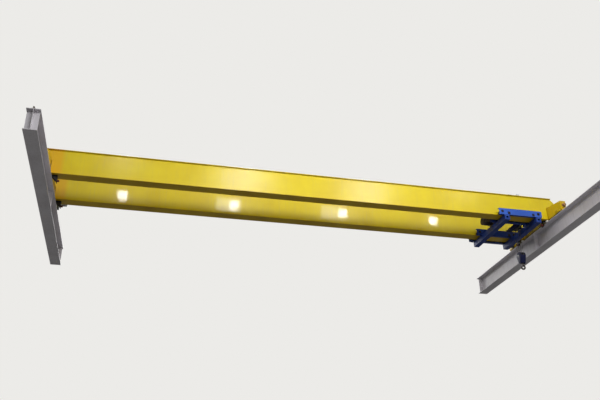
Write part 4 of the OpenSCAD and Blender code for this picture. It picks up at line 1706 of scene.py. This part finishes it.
@dataclass
class TrolleyFrame:
    """Fittings of the trolley's side beams and cross beams.

    Each web is given by the Y of its outer face and the way that it faces.
    """

    low_z: float = 1.07
    high_z: float = 1.42
    web_t: float = 0.014
    webs: tuple[tuple[float, int], ...] = ((-1.855, -1), (-0.795, 1), (0.795, -1), (1.855, 1))
    axles: tuple[float, float] = (23.01, 25.11)
    axle_z: float = 1.2503
    driven_y: tuple[float, float] = (-0.795, 1.855)
    cross: tuple[float, float] = (23.24, 25.07)
    cross_w: float = 0.29
    splice_x: tuple[float, ...] = (23.38, 24.8)
    rib_x: tuple[float, ...] = (23.24, 23.75, 24.06, 24.4, 24.9)
    inner_y: float = -0.795
    collector_x: float = 24.06
    tray_x: tuple[float, float] = (24.3, 24.63)
    tray_y: float = 0.2

    def build(self) -> None:
        """Builds caps, splices, ribs, rings, bolts, current collector, drip tray and welds."""
        self.axle_caps()
        self.splices()
        self.ribs()
        self.end_rings()
        self.clamps()
        self.collector()
        self.drip_tray()
        self.welds()

    def axle_caps(self) -> None:
        """Covers the wheels' axle ends with dark bolted caps, away from the drives."""
        profile = [
            (0, 0.034), (0.04, 0.034), (0.05, 0.028), (0.055, 0.012), (0.078, 0.01),
            (0.08, 0.006), (0.08, -0.001), (0.049, -0.001), (0.049, 0.026), (0, 0.026),
        ]
        bolts = copies(bolt(0.008), round_of(spot(0, 0, 0.009), 0.066, 6))
        model = join([turned(profile, HERE, 40), bolts])
        places = [
            facing((x, y, self.axle_z), (0, way, 0))
            for y, way in self.webs
            for x in self.axles
            if x != self.axles[0] or y not in self.driven_y
        ]
        Piece("trolley_axle_caps", Body.TROLLEY, BOLT_STEEL).add(copies(model, places)).done()

    def splices(self) -> None:
        """Bolts dark splice plates on the side beams beside the wheels, where the cross beams hang."""
        thick = 0.012
        plate = block((-0.07, -0.075, 0), (0.07, 0.075, thick), 0.004, 2)
        bolts = copies(bolt(0.018), [spot(u, v, thick) for u in (-0.042, 0.042) for v in (-0.045, 0.045)])
        places = [
            axes((x, y, self.low_z + 0.105), (-way, 0, 0), (0, 0, 1))
            for y, way in self.webs
            for x in self.splice_x
        ]
        Piece("side_beam_splices", Body.TROLLEY, BOLT_STEEL).add(copies(join([plate, bolts]), places)).done()

    def ribs(self) -> None:
        """Welds stiffening ribs between the side beams' flanges."""
        rib = block((-0.005, 0.0, self.low_z + 0.013), (0.005, 0.125, self.high_z - 0.013), 0.001)
        places = [
            spot(x, y - way * self.web_t, 0) @ spun(math.pi if way > 0 else 0.0)
            for y, way in self.webs
            for x in self.rib_x
        ]
        Piece("side_beam_ribs", Body.TROLLEY, TROLLEY_PAINT).add(copies(rib, places)).done()

    def end_rings(self) -> None:
        """Welds a ring round the hole in each end of the cross beams."""
        profile = [
            (0.0655, -0.012), (0.086, -0.001), (0.086, 0.006), (0.08, 0.01), (0.07, 0.01), (0.0655, 0.006),
        ]
        outer = self.webs[-1][0]
        places = [
            facing((x, side * outer, self.low_z - self.cross_w / 2), (0, side, 0))
            for x in self.cross
            for side in (-1, 1)
        ]
        rings = copies(turned(profile, HERE, 44), places)
        Piece("cross_beam_rings", Body.TROLLEY, TROLLEY_PAINT).add(rings).done()

    def clamps(self) -> None:
        """Bolts the side beams to the cross beams through their lower flanges."""
        places = [
            spot(x + u, y - way * back, self.low_z + self.web_t)
            for y, way in self.webs
            for x in self.cross
            for u in (-0.11, 0.11)
            for back in (0.045, 0.11)
        ]
        Piece("cross_beam_bolts", Body.TROLLEY, BOLT_STEEL).add(copies(bolt(0.016), places)).done()

    def collector(self) -> None:
        """Builds the sprung arm and shoe that take current from the near girder's conductor bar."""
        foot = spot(self.collector_x, self.inner_y, self.high_z)
        coil = [(x, y - 0.045, 0.08 + 0.006 * i) for i, (x, y) in enumerate(arc(0.012, 0, 16, 32))]
        arm = Piece("current_collector", Body.TROLLEY, ZINC)
        arm.add(
            block((-0.06, -0.09, -0.001), (0.06, -0.005, 0.012), 0.002),
            block((-0.015, -0.06, 0.01), (0.015, -0.03, 0.3), 0.003),
            tube([(0, -0.045, 0.28), (0, -0.105, 0.31), (0, -0.19, 0.36)], 0.012),
            tube(coil, 0.003, 6),
            place=foot,
        )
        arm.done()
        lead = [(0, -0.17, 0.365), (-0.03, -0.105, 0.32), (-0.03, -0.06, 0.2), (-0.03, -0.06, 0.02)]
        shoe = Piece("collector_shoe", Body.TROLLEY, CABLE_RUBBER)
        shoe.add(
            block((-0.11, -0.21, 0.355), (0.11, -0.17, 0.385), 0.006, 2),
            tube(lead, 0.007, 8),
            place=foot,
        )
        shoe.done()

    def drip_tray(self) -> None:
        """Hangs a folded drip tray on brackets under the drum's right end."""
        left, right = self.tray_x
        corner = spot(left, self.inner_y + 0.001, self.low_z + 0.03)
        wide, long = right - left, self.tray_y - self.inner_y - 0.001
        sheet, wall, back = 0.004, 0.07, 0.1
        tray = Piece("drum_drip_tray", Body.TROLLEY, BLOCK_PAINT)
        for low, high in (
            ((0, 0, 0), (wide, long, sheet)),
            ((0, 0, 0), (sheet, long, wall)),
            ((wide - sheet, 0, 0), (wide, long, wall)),
            ((0, long - sheet, 0), (wide, long, wall)),
            ((0, 0, 0), (wide, sheet, back)),
        ):
            tray.add(block(low, high, 0.001), place=corner)
        side = axes((-0.005, 0, 0), (0, 1, 0), (0, 0, -1))
        bracket = prism([(0, 0), (0.85, 0), (0.85, 0.012), (0.0, 0.07)], side, -0.01, 0.001)
        tray.add(copies(bracket, [corner @ spot(x, 0, 0) for x in (0.07, wide - 0.07)]))
        fixings = [corner @ facing((x, sheet, wall), (0, 1, 0)) for x in (0.06, wide / 2, wide - 0.06)]
        tray.add(copies(bolt(0.01), fixings)).done()

    def welds(self) -> None:
        """Lays welds where the cross beams' walls meet the side beams."""
        bead = Piece("trolley_welds", Body.TROLLEY, TROLLEY_PAINT)
        z = self.low_z - 0.001
        for x in self.cross:
            for y, way in self.webs:
                for edge in (x - self.cross_w / 2, x + self.cross_w / 2):
                    bead.add(tube([(edge, y - way * 0.004, z), (edge, y - way * 0.146, z)], 0.006, 8))
        bead.done(smooth=60)


@dataclass
class TrolleyDrives(Drives):
    """The drives on the trolley's left axles, lying flat towards its middle."""

    name: str = "trolley"
    body: Body = Body.TROLLEY
    case: GearCase = GearCase(depth=0.11, low_r=0.085, high_r=0.08, rise=0.14)
    motor: Motor = Motor(length=0.165, diameter=0.15, fins=24)
    bore: float = 0.047
    faces: tuple[float, float] = (-0.795, 1.855)
    axle_x: float = 23.01
    axle_z: float = 1.2503

    def feet(self) -> list[Matrix]:
        """Lists where the gear cases stand.

        Returns:
            The driven axles' ends, with the motors towards the right.
        """
        return [axes((self.axle_x, y, self.axle_z), (0, 0, 1), (1, 0, 0)) for y in self.faces]


@dataclass
class Hoist:
    """The hoist: gearbox, motor, drum with its rope, and end stand."""

    axis_y: float = -0.15
    drum_z: float = 1.75
    barrel_r: float = 0.23
    rope_r: float = 0.01
    rope_pitch: float = 0.0207
    rope_x: tuple[float, float] = (23.61, 24.81)
    box_x: tuple[float, float] = (23.18, 23.53)
    box_r: float = 0.29
    motor_z: float = 1.42
    drive: Motor = Motor(length=0.5, diameter=0.43, fins=40)
    foot_z: float = 1.109
    box_bolt_x: tuple[float, float] = (23.145, 23.335)
    stand_x: tuple[float, float] = (24.99, 25.03)
    opening_y: float = -0.31
    opening_z: float = 1.245
    stand_bolt_x: float = 25.13
    stand_bolt_y: tuple[float, ...] = (-0.6, -0.3, -0.05, 0.19)

    def build(self) -> None:
        """Builds the wound rope, the motor and the fittings of gearbox and stand."""
        self.wound_rope()
        self.motor()
        self.gearbox()
        self.plugs()
        self.stand()

    def wound_rope(self) -> None:
        """Winds the rope on the drum, one turn beside the next."""
        start, end = self.rope_x
        turns = (end - start) / self.rope_pitch
        steps = int(turns * 20)
        points = []
        for share in (i / steps for i in range(steps + 1)):
            y, z = polar(self.barrel_r + self.rope_r, 2 * math.pi * turns * (share - 1))
            points.append((start + (end - start) * share, self.axis_y + y, self.drum_z + z))
        rope = tube(points, self.rope_r, 7)
        Piece("wound_rope", Body.DRUM, ROPE).add(rope).done(replaces=("drum_rope",), smooth=70)

    def motor(self) -> None:
        """Builds the hoist motor and its cowl."""
        foot = facing((self.box_x[0], self.axis_y, self.motor_z), (-1, 0, 0))
        housing = Piece("hoist_motor_housing", Body.TROLLEY, HOIST_PAINT)
        housing.add(*self.drive.housing(foot)).done(replaces=("hoist_motor",))
        Piece("hoist_motor_cowl", Body.TROLLEY, HOIST_PAINT).add(*self.drive.cowl(foot)).done()

    def gearbox(self) -> None:
        """Builds the gearbox's split flange, cover, ribs, bolts, eye and breather."""
        left, right = self.box_x
        middle, y, z, r = (left + right) / 2, self.axis_y, self.drum_z, self.box_r
        face = facing((left + 0.001, y, z), (-1, 0, 0))
        fit = Piece("hoist_gearbox_fittings", Body.TROLLEY, HOIST_PAINT)
        split = band(r - 0.004, r + 0.022, -0.02, 0.02)
        fit.add(turned(split, facing((middle, y, z), (1, 0, 0)), 48, math.radians(359.9)))
        ring = round_of(facing((middle - 0.02, y, z), (1, 0, 0)), r + 0.01, 18, 0.1)
        fit.add(copies(bolt(0.012), [place @ Matrix.Rotation(math.pi, 4, "X") for place in ring]))
        cover = [(0, 0), (0.17, 0), (0.17, 0.012), (0.12, 0.02), (0.07, 0.026), (0.07, 0.04), (0, 0.042)]
        fit.add(turned(cover, face, 44))
        fit.add(copies(bolt(0.013), round_of(face @ spot(0, 0, 0.012), 0.15, 10)))
        outline = [(0.075, 0.0), (0.27, 0.0), (0.26, 0.014), (0.09, 0.022)]
        rib = prism(outline, axes((0, -0.005, 0), (1, 0, 0), (0, 0, 1)), -0.01, 0.001)
        fit.add(copies(rib, [face @ spun(math.pi * (i + 0.5) / 6) for i in range(12)]))
        hung = axes((middle + 0.08, y, z + r + 0.028), (1, 0, 0), (0, 0, 1))
        fit.add(turned(band(0.018, 0.036, -0.009, 0.009), hung, 24))
        feet = [spot(x, y + v, self.foot_z) for x in self.box_bolt_x for v in (-0.27, 0.27)]
        fit.add(copies(bolt(0.02), feet))
        breather = [
            (0, 0), (0.014, 0), (0.014, 0.02), (0.022, 0.024), (0.022, 0.045), (0.016, 0.052), (0, 0.052),
        ]
        fit.add(turned(breather, spot(middle - 0.08, y, z + r - 0.002), 20)).done()

    def plugs(self) -> None:
        """Screws two oil plugs and a sight glass's ring into the gearbox."""
        left, y = self.box_x[0], self.axis_y
        bright = Piece("hoist_gearbox_plugs", Body.TROLLEY, ZINC)
        low = [facing((left - 0.004, y + v, self.drum_z - 0.2), (-1, 0, 0)) for v in (-0.14, 0.14)]
        bright.add(copies(bolt(0.024), low))
        glass = [(0, 0), (0.03, 0), (0.03, 0.012), (0.022, 0.016), (0, 0.012)]
        bright.add(turned(glass, facing((left + 0.17, y - 0.232, self.motor_z), (0, -1, 0)), 24)).done()

    def stand(self) -> None:
        """Builds the collar round the stand's opening, the drum's bearing cap and the bolts."""
        left, right = self.stand_x
        fit = Piece("stand_fittings", Body.TROLLEY, BLOCK_PAINT)
        collar = [
            (0.129, -0.045), (0.152, -0.045), (0.158, -0.03), (0.158, 0.03), (0.152, 0.045), (0.129, 0.045),
        ]
        opening = facing(((left + right) / 2, self.opening_y, self.opening_z), (1, 0, 0))
        fit.add(turned(collar, opening, 52))
        cap = [
            (0.061, 0), (0.112, 0), (0.112, 0.012), (0.085, 0.02), (0.08, 0.045),
            (0.06, 0.052), (0, 0.054), (0, 0.048), (0.056, 0.045), (0.061, 0.03),
        ]
        bearing = facing((right + 0.03, self.axis_y, self.drum_z), (1, 0, 0))
        fit.add(turned(cap, bearing, 44))
        fit.add(copies(bolt(0.012), round_of(bearing @ spot(0, 0, 0.012), 0.098, 8)))
        feet = [spot(self.stand_bolt_x, y, self.foot_z) for y in self.stand_bolt_y]
        fit.add(copies(bolt(0.02), feet)).done()


@dataclass
class Rope:
    """The hoist rope's lead and its four falls, laid from six strands."""

    hook_x: float = 24.75
    hook_y: float = -0.1
    half_gap: float = 0.06
    sheave_r: float = 0.19
    drum_z: float = 1.75
    return_z: float = 1.25
    anchor_z: float = 1.27
    pin_z: float = -0.48
    rope_r: float = 0.01
    strands: int = 6
    lay: float = 0.14
    step: float = 0.014
    sides: int = 24

    def straight(self, x: float, y: float, start: float, end: float) -> list[Vector]:
        """Runs the rope up or down.

        Args:
            x: X of the run.
            y: Y of the run.
            start: Height of its first point.
            end: Height that its last point stops short of.

        Returns:
            Its points.
        """
        count = max(2, int(abs(end - start) / self.step))
        return [Vector((x, y, start + (end - start) * i / count)) for i in range(count)]

    def bend(self, middle: Vector, side: Vector, up: int) -> list[Vector]:
        """Takes the rope half a turn round a sheave.

        Args:
            middle: Middle of the turn.
            side: From the middle to the first point.
            up: 1 over the sheave, or -1 under it.

        Returns:
            Its points, without the last.
        """
        count = int(math.pi * side.length / self.step)
        turns = (polar(1.0, math.pi * i / count) for i in range(count))
        return [middle + side * u + Vector((0, 0, up * side.length * v)) for u, v in turns]

    def route(self) -> list[Vector]:
        """Takes the rope from the drum to its anchor.

        Returns:
            Points about one step apart.
        """
        near, far = self.hook_y - self.sheave_r, self.hook_y + self.sheave_r
        right, left = self.hook_x + self.half_gap, self.hook_x - self.half_gap
        back = Vector((0, self.sheave_r, 0))
        top = Vector((self.hook_x, self.hook_y, self.return_z))
        points = self.straight(right, far, self.drum_z, self.pin_z)
        points += self.bend(Vector((right, self.hook_y, self.pin_z)), back, -1)
        points += self.straight(right, near, self.pin_z, self.return_z)
        points += self.bend(top, Vector((self.half_gap, -self.sheave_r, 0)), 1)
        points += self.straight(left, far, self.return_z, self.pin_z)
        points += self.bend(Vector((left, self.hook_y, self.pin_z)), back, -1)
        points += self.straight(left, near, self.pin_z, self.anchor_z)
        points.append(Vector((left, near, self.anchor_z)))
        return points

    def build(self) -> None:
        """Lays the strands along the route, in a piece that rides on no body."""
        points = self.route()
        rings = []
        side = Vector((1, 0, 0))
        run = 0.0
        last = points[0]
        for point, along in zip(points, headings(points)):
            side = (side - along * side.dot(along)).normalized()
            other = along.cross(side)
            run += (point - last).length
            last = point
            ring = []
            for angle in (2 * math.pi * k / self.sides for k in range(self.sides)):
                crown = self.rope_r * (0.9 + 0.1 * math.cos(self.strands * angle))
                u, v = polar(crown, angle + 2 * math.pi * run / self.lay)
                ring.append(point + u * side + v * other)
            rings.append(ring)
        piece = Piece("rope_falls", Body.TROLLEY, ROPE).add(loft(rings))
        falls = piece.done(replaces=("hoist_ropes", "lead_rope"), smooth=80, ride=False)
        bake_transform(falls)


@dataclass
class HookBlock:
    """The lower block with its two sheaves, and the forged hook with its latch."""

    x: float = 24.75
    y: float = -0.1
    pin_z: float = -0.48
    crosshead_drop: float = 0.33
    half_w: float = 0.15
    top_r: float = 0.23
    low_r: float = 0.11
    cheek_t: float = 0.012
    bowl_drop: float = 0.63
    bowl_r: float = 0.07
    shank_r: float = 0.042
    nut_rise: float = 0.0553
    eye_angle: float = 450.0
    tip_angle: float = 152.0

    def build(self) -> None:
        """Builds the block's plates and pin, the hook and the latch."""
        self.plates()
        self.pin()
        self.forging()
        self.latch()

    def face(self, way: int, out: float = 0.0) -> Matrix:
        """Gives one cheek's side of the block.

        Args:
            way: 1 for the right cheek, or -1 for the left one.
            out: How far outside the housing it lies.

        Returns:
            The sheave pin's middle there, with Z outwards and Y up.
        """
        return axes((self.x + way * (self.half_w + out), self.y, self.pin_z), (0, way, 0), (0, 0, 1))

    def teardrop(self, grow: float) -> list[tuple[float, float]]:
        """Draws the block's side view about the sheave pin.

        Args:
            grow: How far the outline stands outside the housing.

        Returns:
            Points across and up from the pin.
        """
        top, low = self.top_r + grow, self.low_r + grow
        tilt = math.asin((top - low) / self.crosshead_drop)
        upper = arc(top, -tilt, math.pi + 2 * tilt, 36)
        return upper + arc(low, math.pi + tilt, math.pi - 2 * tilt, 16, -self.crosshead_drop)

    def plates(self) -> None:
        """Bolts a heavy cheek weight on each side of the block."""
        cheeks = Piece("block_cheek_plates", Body.BLOCK, BLOCK_PAINT)
        bolts = Piece("block_bolts", Body.BLOCK, BOLT_STEEL)
        spots = [polar(0.165, math.radians(angle)) for angle in (15, 62, 118, 165, 215, 325)]
        spots += [(0.0, -0.385), (-0.05, -0.3), (0.05, -0.3)]
        for way in (-1, 1):
            cheek = drilled(prism(self.teardrop(-0.028), HERE, self.cheek_t, 0.004, 2), 0.0685)
            cheeks.add(cheek, place=self.face(way))
            bolts.add(copies(bolt(0.013), [self.face(way) @ spot(u, v, self.cheek_t) for u, v in spots]))
        cheeks.done()
        bolts.done()

    def pin(self) -> None:
        """Locks the sheave pin with keeper plates and gives it grease nipples."""
        keep = Piece("block_pin_keepers", Body.BLOCK, ZINC)
        nipple = [(0, 0), (0.007, 0), (0.007, 0.006), (0.004, 0.014), (0, 0.014)]
        for way in (-1, 1):
            face = self.face(way, 0.024)
            keep.add(block((-0.055, 0.028, 0.0), (0.055, 0.05, 0.008), 0.002), place=face)
            keep.add(copies(bolt(0.01), [face @ spot(u, 0.039, 0.008) for u in (-0.04, 0.04)]))
            keep.add(turned(nipple, face, 12))
        keep.done()

    def bowl(self) -> list[list[Point]]:
        """Forges the bowl, which swells at its seat and tapers to a rounded tip.

        Returns:
            Rings from the shank to the tip.
        """
        bowl_z = self.pin_z - self.bowl_drop
        rings, count, sides = [], 44, 20
        for share in (i / count for i in range(count + 1)):
            angle = math.radians(self.eye_angle - (self.eye_angle - self.tip_angle) * share)
            swell = math.sin(math.pi * min(1.0, share * 1.05)) ** 0.8
            thick = 0.078 + 0.012 * swell
            if share > 0.72:
                thick -= 0.046 * ((share - 0.72) / 0.28) ** 1.5
            middle = self.bowl_r + 0.004 * (1 - swell) + thick / 2
            ring = []
            for u, v in (polar(1.0, 2 * math.pi * k / sides) for k in range(sides)):
                r = middle + thick / 2 * math.copysign(abs(u) ** 0.8, u)
                flank = 0.45 * thick * math.copysign(abs(v) ** 0.85, v) * (1.0 - 0.16 * u)
                x, z = polar(r, angle)
                ring.append((self.x + x, self.y + flank, bowl_z + z))
            rings.append(ring)
        tip = rings[-1]
        heart = Vector([sum(p[i] for p in tip) / len(tip) for i in range(3)])
        x, z = polar(1.0, math.radians(self.tip_angle - 90))
        for share, out in ((0.8, 0.008), (0.45, 0.014)):
            rings.append([heart + (Vector(p) - heart) * share + Vector((x, 0, z)) * out for p in tip])
        return rings

    def forging(self) -> None:
        """Forges the hook: nut, shank and bowl."""
        piece = Piece("forged_hook", Body.HOOK, HOOK_STEEL)
        nut_z = self.pin_z - self.crosshead_drop + self.nut_rise
        neck_z = self.pin_z - self.bowl_drop + self.bowl_r + 0.03
        hexagon = arc(0.075, 0, math.pi * 5 / 3, 5)
        piece.add(prism(hexagon, spot(self.x, self.y, nut_z), 0.05, 0.004, 2))
        shank = [
            (0, neck_z), (self.shank_r - 0.0015, neck_z), (self.shank_r, neck_z + 0.02),
            (self.shank_r, nut_z + 0.04), (self.shank_r - 0.006, nut_z + 0.052), (0, nut_z + 0.054),
        ]
        piece.add(turned(shank, spot(self.x, self.y, 0), 36))
        piece.add(loft(self.bowl())).done(replaces=("hook",), smooth=60)

    def latch(self) -> None:
        """Folds the safety latch from sheet, with its pivot pin and spring."""
        bowl_z = self.pin_z - self.bowl_drop
        x, z = polar(1.2 * self.bowl_r, math.radians(148))
        low = Vector((self.x + x, self.y, bowl_z + z))
        high = Vector((self.x - self.shank_r - 0.006, self.y, bowl_z + 2.0 * self.bowl_r))
        run = high - low
        half, lip, sheet = 0.018, 0.014, 0.0025
        section = [
            (-half, 0), (-half, lip), (sheet - half, lip), (sheet - half, sheet),
            (half - sheet, sheet), (half - sheet, lip), (half, lip), (half, 0),
        ]
        start = axes(low + 0.004 * run.normalized(), (0, 1, 0), run.cross(Vector((0, 1, 0))))
        piece = Piece("safety_latch", Body.HOOK, ZINC)
        piece.add(prism(scaled(section, 1, -1), start, run.length - 0.004))
        piece.add(turned(band(0, 0.005, -0.024, 0.024), facing(high, (0, 1, 0)), 16))
        coil = [(u, 0.00055 * i - 0.012, v) for i, (u, v) in enumerate(arc(0.008, 0, 22, 44))]
        piece.add(tube(coil, 0.0012, 6), place=spot(*high))
        piece.done(replaces=("hook_latch",))


# Assembly

SLOT_FINISH: dict[str, Finish] = {
    finish.slot.value: finish
    for finish in (
        RUNWAY_PAINT, RAIL_STEEL, GIRDER_PAINT, BUFFER_RUBBER, STOP_PAINT, STOP_RUBBER, GEARBOX_PAINT,
        MOTOR_PAINT, WHEEL_STEEL, TROLLEY_PAINT, HOIST_PAINT, ROPE, BLOCK_PAINT, HOOK_STEEL, ZINC,
    )
}
NODE_FINISH: dict[str, Finish] = {
    # The trucks' enamel carries painted shade on the inner faces between the girders.
    "left_end_truck": TRUCK_PAINT,
    "right_end_truck": TRUCK_PAINT,
    # The bottom flanges take the yellow darkened as painted shade.
    "near_bottom_flange": FLANGE_PAINT,
    "far_bottom_flange": FLANGE_PAINT,
    "near_girder_webs": CHALKED_PAINT,
    # The trolley's inner side beams and cross beams take the blue darkened as painted shade.
    "near_inner_side_beam": SHADED_PAINT,
    "far_inner_side_beam": SHADED_PAINT,
    "left_cross_beam": SHADED_PAINT,
    "right_cross_beam": SHADED_PAINT,
    "return_sheave": SHEAVE_IRON,
    "block_sheaves": SHEAVE_IRON,
}


def dress_nodes() -> None:
    """Gives every CAD node its own finish, or else that of its material slot."""
    for part in frame["record"]["subparts"]:
        node = frame["nodes"][part["node"]]
        finish = NODE_FINISH.get(part["node"], SLOT_FINISH[part["material_slot"]])
        node.data.materials.clear()
        node.data.materials.append(finish.material())


@dataclass(frozen=True)
class Panel:
    """A rectangular lamp: its place, what it lights, its width and height, and its watts.

    The camera never sees it, and gloss shows it only where it is mirrored.
    """

    place: Point
    aim: Point
    size: tuple[float, float]
    power: float
    mirrored: bool = True

    def hang(self) -> None:
        """Hangs the lamp and points it."""
        data = bpy.data.lights.new("panel", "AREA")
        data.shape = "RECTANGLE"
        data.size, data.size_y = self.size
        data.energy = self.power
        lamp = bpy.data.objects.new("panel", data)
        lamp.location = self.place
        lamp.visible_glossy = self.mirrored
        lamp.visible_camera = False
        lamp.rotation_euler = (Vector(self.aim) - Vector(self.place)).to_track_quat("-Z", "Y").to_euler()
        bpy.context.scene.collection.objects.link(lamp)


@dataclass
class Studio:
    """Camera, lamps, floor and backdrop.

    The webs' gloss mirrors a row of lamps. Each is given by its X and Z, each glow by its
    X and Z too, and each strip by its X and width.
    """

    eye: Point = (4.757, -31.605, -15.232)
    lens: float = 42.095
    film: float = 36.0
    yaw: float = 13.696
    pitch: float = 27.601
    roll: float = -1.131
    floor_z: float = -45.0
    floor_size: float = 1600.0
    soft: tuple[Panel, ...] = (
        Panel((17, -28, 13), (13, 0, 1.5), (28, 8), 5250, False),
        Panel((18, -28, -7), (15, 0, 1.3), (24, 5), 1100, False),
        Panel((13, 4, 22), (13, 0, 1), (34, 14), 3500, False),
        Panel((13, 30, 10), (13, 0, 1), (30, 8), 3000),
    )
    lamp_y: float = -8.0
    lamps: Outline = ((3.07, 6.42), (10.38, 6.44), (18.02, 6.54), (24.75, 6.6))
    lamp_size: tuple[float, float] = (0.6, 0.55)
    lamp_power: float = 48.0
    strips: Outline = ((10.3, 2.6), (18.2, 2.0))
    strip_h: float = 0.8
    strip_power: float = 58.0
    glows: Outline = ((10.0, 6.44), (17.3, 6.54))
    glow_size: tuple[float, float] = (1.7, 0.9)
    glow_power: float = 40.0

    def build(self) -> None:
        """Sets up all of the studio."""
        self.camera()
        self.lights()
        self.floor()
        self.world()
        bpy.context.scene.view_settings.view_transform = "Standard"

    def camera(self) -> None:
        """Puts the camera where the photograph was taken from."""
        yaw, pitch, roll = (math.radians(a) for a in (self.yaw, self.pitch, self.roll))
        ahead, rise = polar(1.0, pitch)
        forward = Vector((math.sin(yaw) * ahead, math.cos(yaw) * ahead, rise))
        right = Vector((math.cos(yaw), -math.sin(yaw), 0))
        up = right.cross(forward)
        across = math.cos(roll) * right + math.sin(roll) * up
        above = -math.sin(roll) * right + math.cos(roll) * up
        data = bpy.data.cameras.new("camera")
        data.lens, data.sensor_width = self.lens, self.film
        data.clip_start, data.clip_end = 0.5, 2000
        camera = bpy.data.objects.new("camera", data)
        camera.matrix_world = axes(self.eye, across, above)
        bpy.context.scene.collection.objects.link(camera)
        bpy.context.scene.camera = camera

    def lights(self) -> None:
        """Hangs the soft panels, the row of small lamps, and the strips and glows round two of them."""
        for panel in self.soft:
            panel.hang()
        for x, z in self.lamps:
            Panel((x, self.lamp_y, z), (x, 1.0, 1.5), self.lamp_size, self.lamp_power).hang()
        for x, width in self.strips:
            Panel((x, -8.5, 5.35), (x, -1.5, 1.8), (width, self.strip_h), self.strip_power * width).hang()
        for x, z in self.glows:
            Panel((x, self.lamp_y, z), (x, 1.0, 1.5), self.glow_size, self.glow_power).hang()

    def floor(self) -> None:
        """Lays the plain pale floor, which shows its own colour to the camera and takes shadow."""
        deselect()
        bpy.ops.mesh.primitive_plane_add(size=self.floor_size, location=(13, 0, self.floor_z))
        floor = bpy.context.object
        floor.name = "floor"
        paint = bpy.data.materials.new("pale_floor")
        paint.use_nodes = True
        tree = paint.node_tree
        tree.nodes.clear()
        seen = add_node(tree, "LightPath", {})["Is Camera Ray"]
        glow = add_node(tree, "Math", {0: seen, 1: 0.8}, operation="MULTIPLY")[0]
        matt = add_node(tree, "BsdfDiffuse", {"Color": linear("#D5D4D1")})[0]
        pale = add_node(tree, "Emission", {"Color": linear("#E4E3E0"), "Strength": 1.0})[0]
        both = add_node(tree, "MixShader", {0: glow, 1: matt, 2: pale})[0]
        add_node(tree, "OutputMaterial", {"Surface": both})
        floor.data.materials.append(paint)

    def world(self) -> None:
        """Shows a pale backdrop to the camera and in gloss and glass, and lights softly with grey."""
        world = bpy.data.worlds.new("studio")
        bpy.context.scene.world = world
        world.use_nodes = True
        tree = world.node_tree
        tree.nodes.clear()
        path = add_node(tree, "LightPath", {})
        seen = path["Is Camera Ray"]
        for ray in ("Is Glossy Ray", "Is Transmission Ray"):
            seen = add_node(tree, "Math", {0: seen, 1: path[ray]}, operation="MAXIMUM")[0]
        soft = add_node(tree, "Background", {"Color": linear("#FFFFFF"), "Strength": 0.12})[0]
        pale = add_node(tree, "Background", {"Color": linear("#ECEBE8"), "Strength": 1.0})[0]
        both = add_node(tree, "MixShader", {0: seen, 1: soft, 2: pale})[0]
        add_node(tree, "OutputWorld", {"Surface": both})


def main() -> None:
    """Builds the crane's looks in order."""
    logging.basicConfig(level=logging.INFO, format="%(name)s: %(message)s")
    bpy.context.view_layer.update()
    dress_nodes()
    assemblies = (
        Studio(), Runway(), Girders(), EndTrucks(), BridgeDrives(), TrolleyStops(),
        TrolleyFrame(), TrolleyDrives(), Hoist(), Rope(), HookBlock(),
    )
    for assembly in assemblies:
        assembly.build()
        LOG.info("%s built", type(assembly).__name__)


if __name__ == "__main__":
    main()
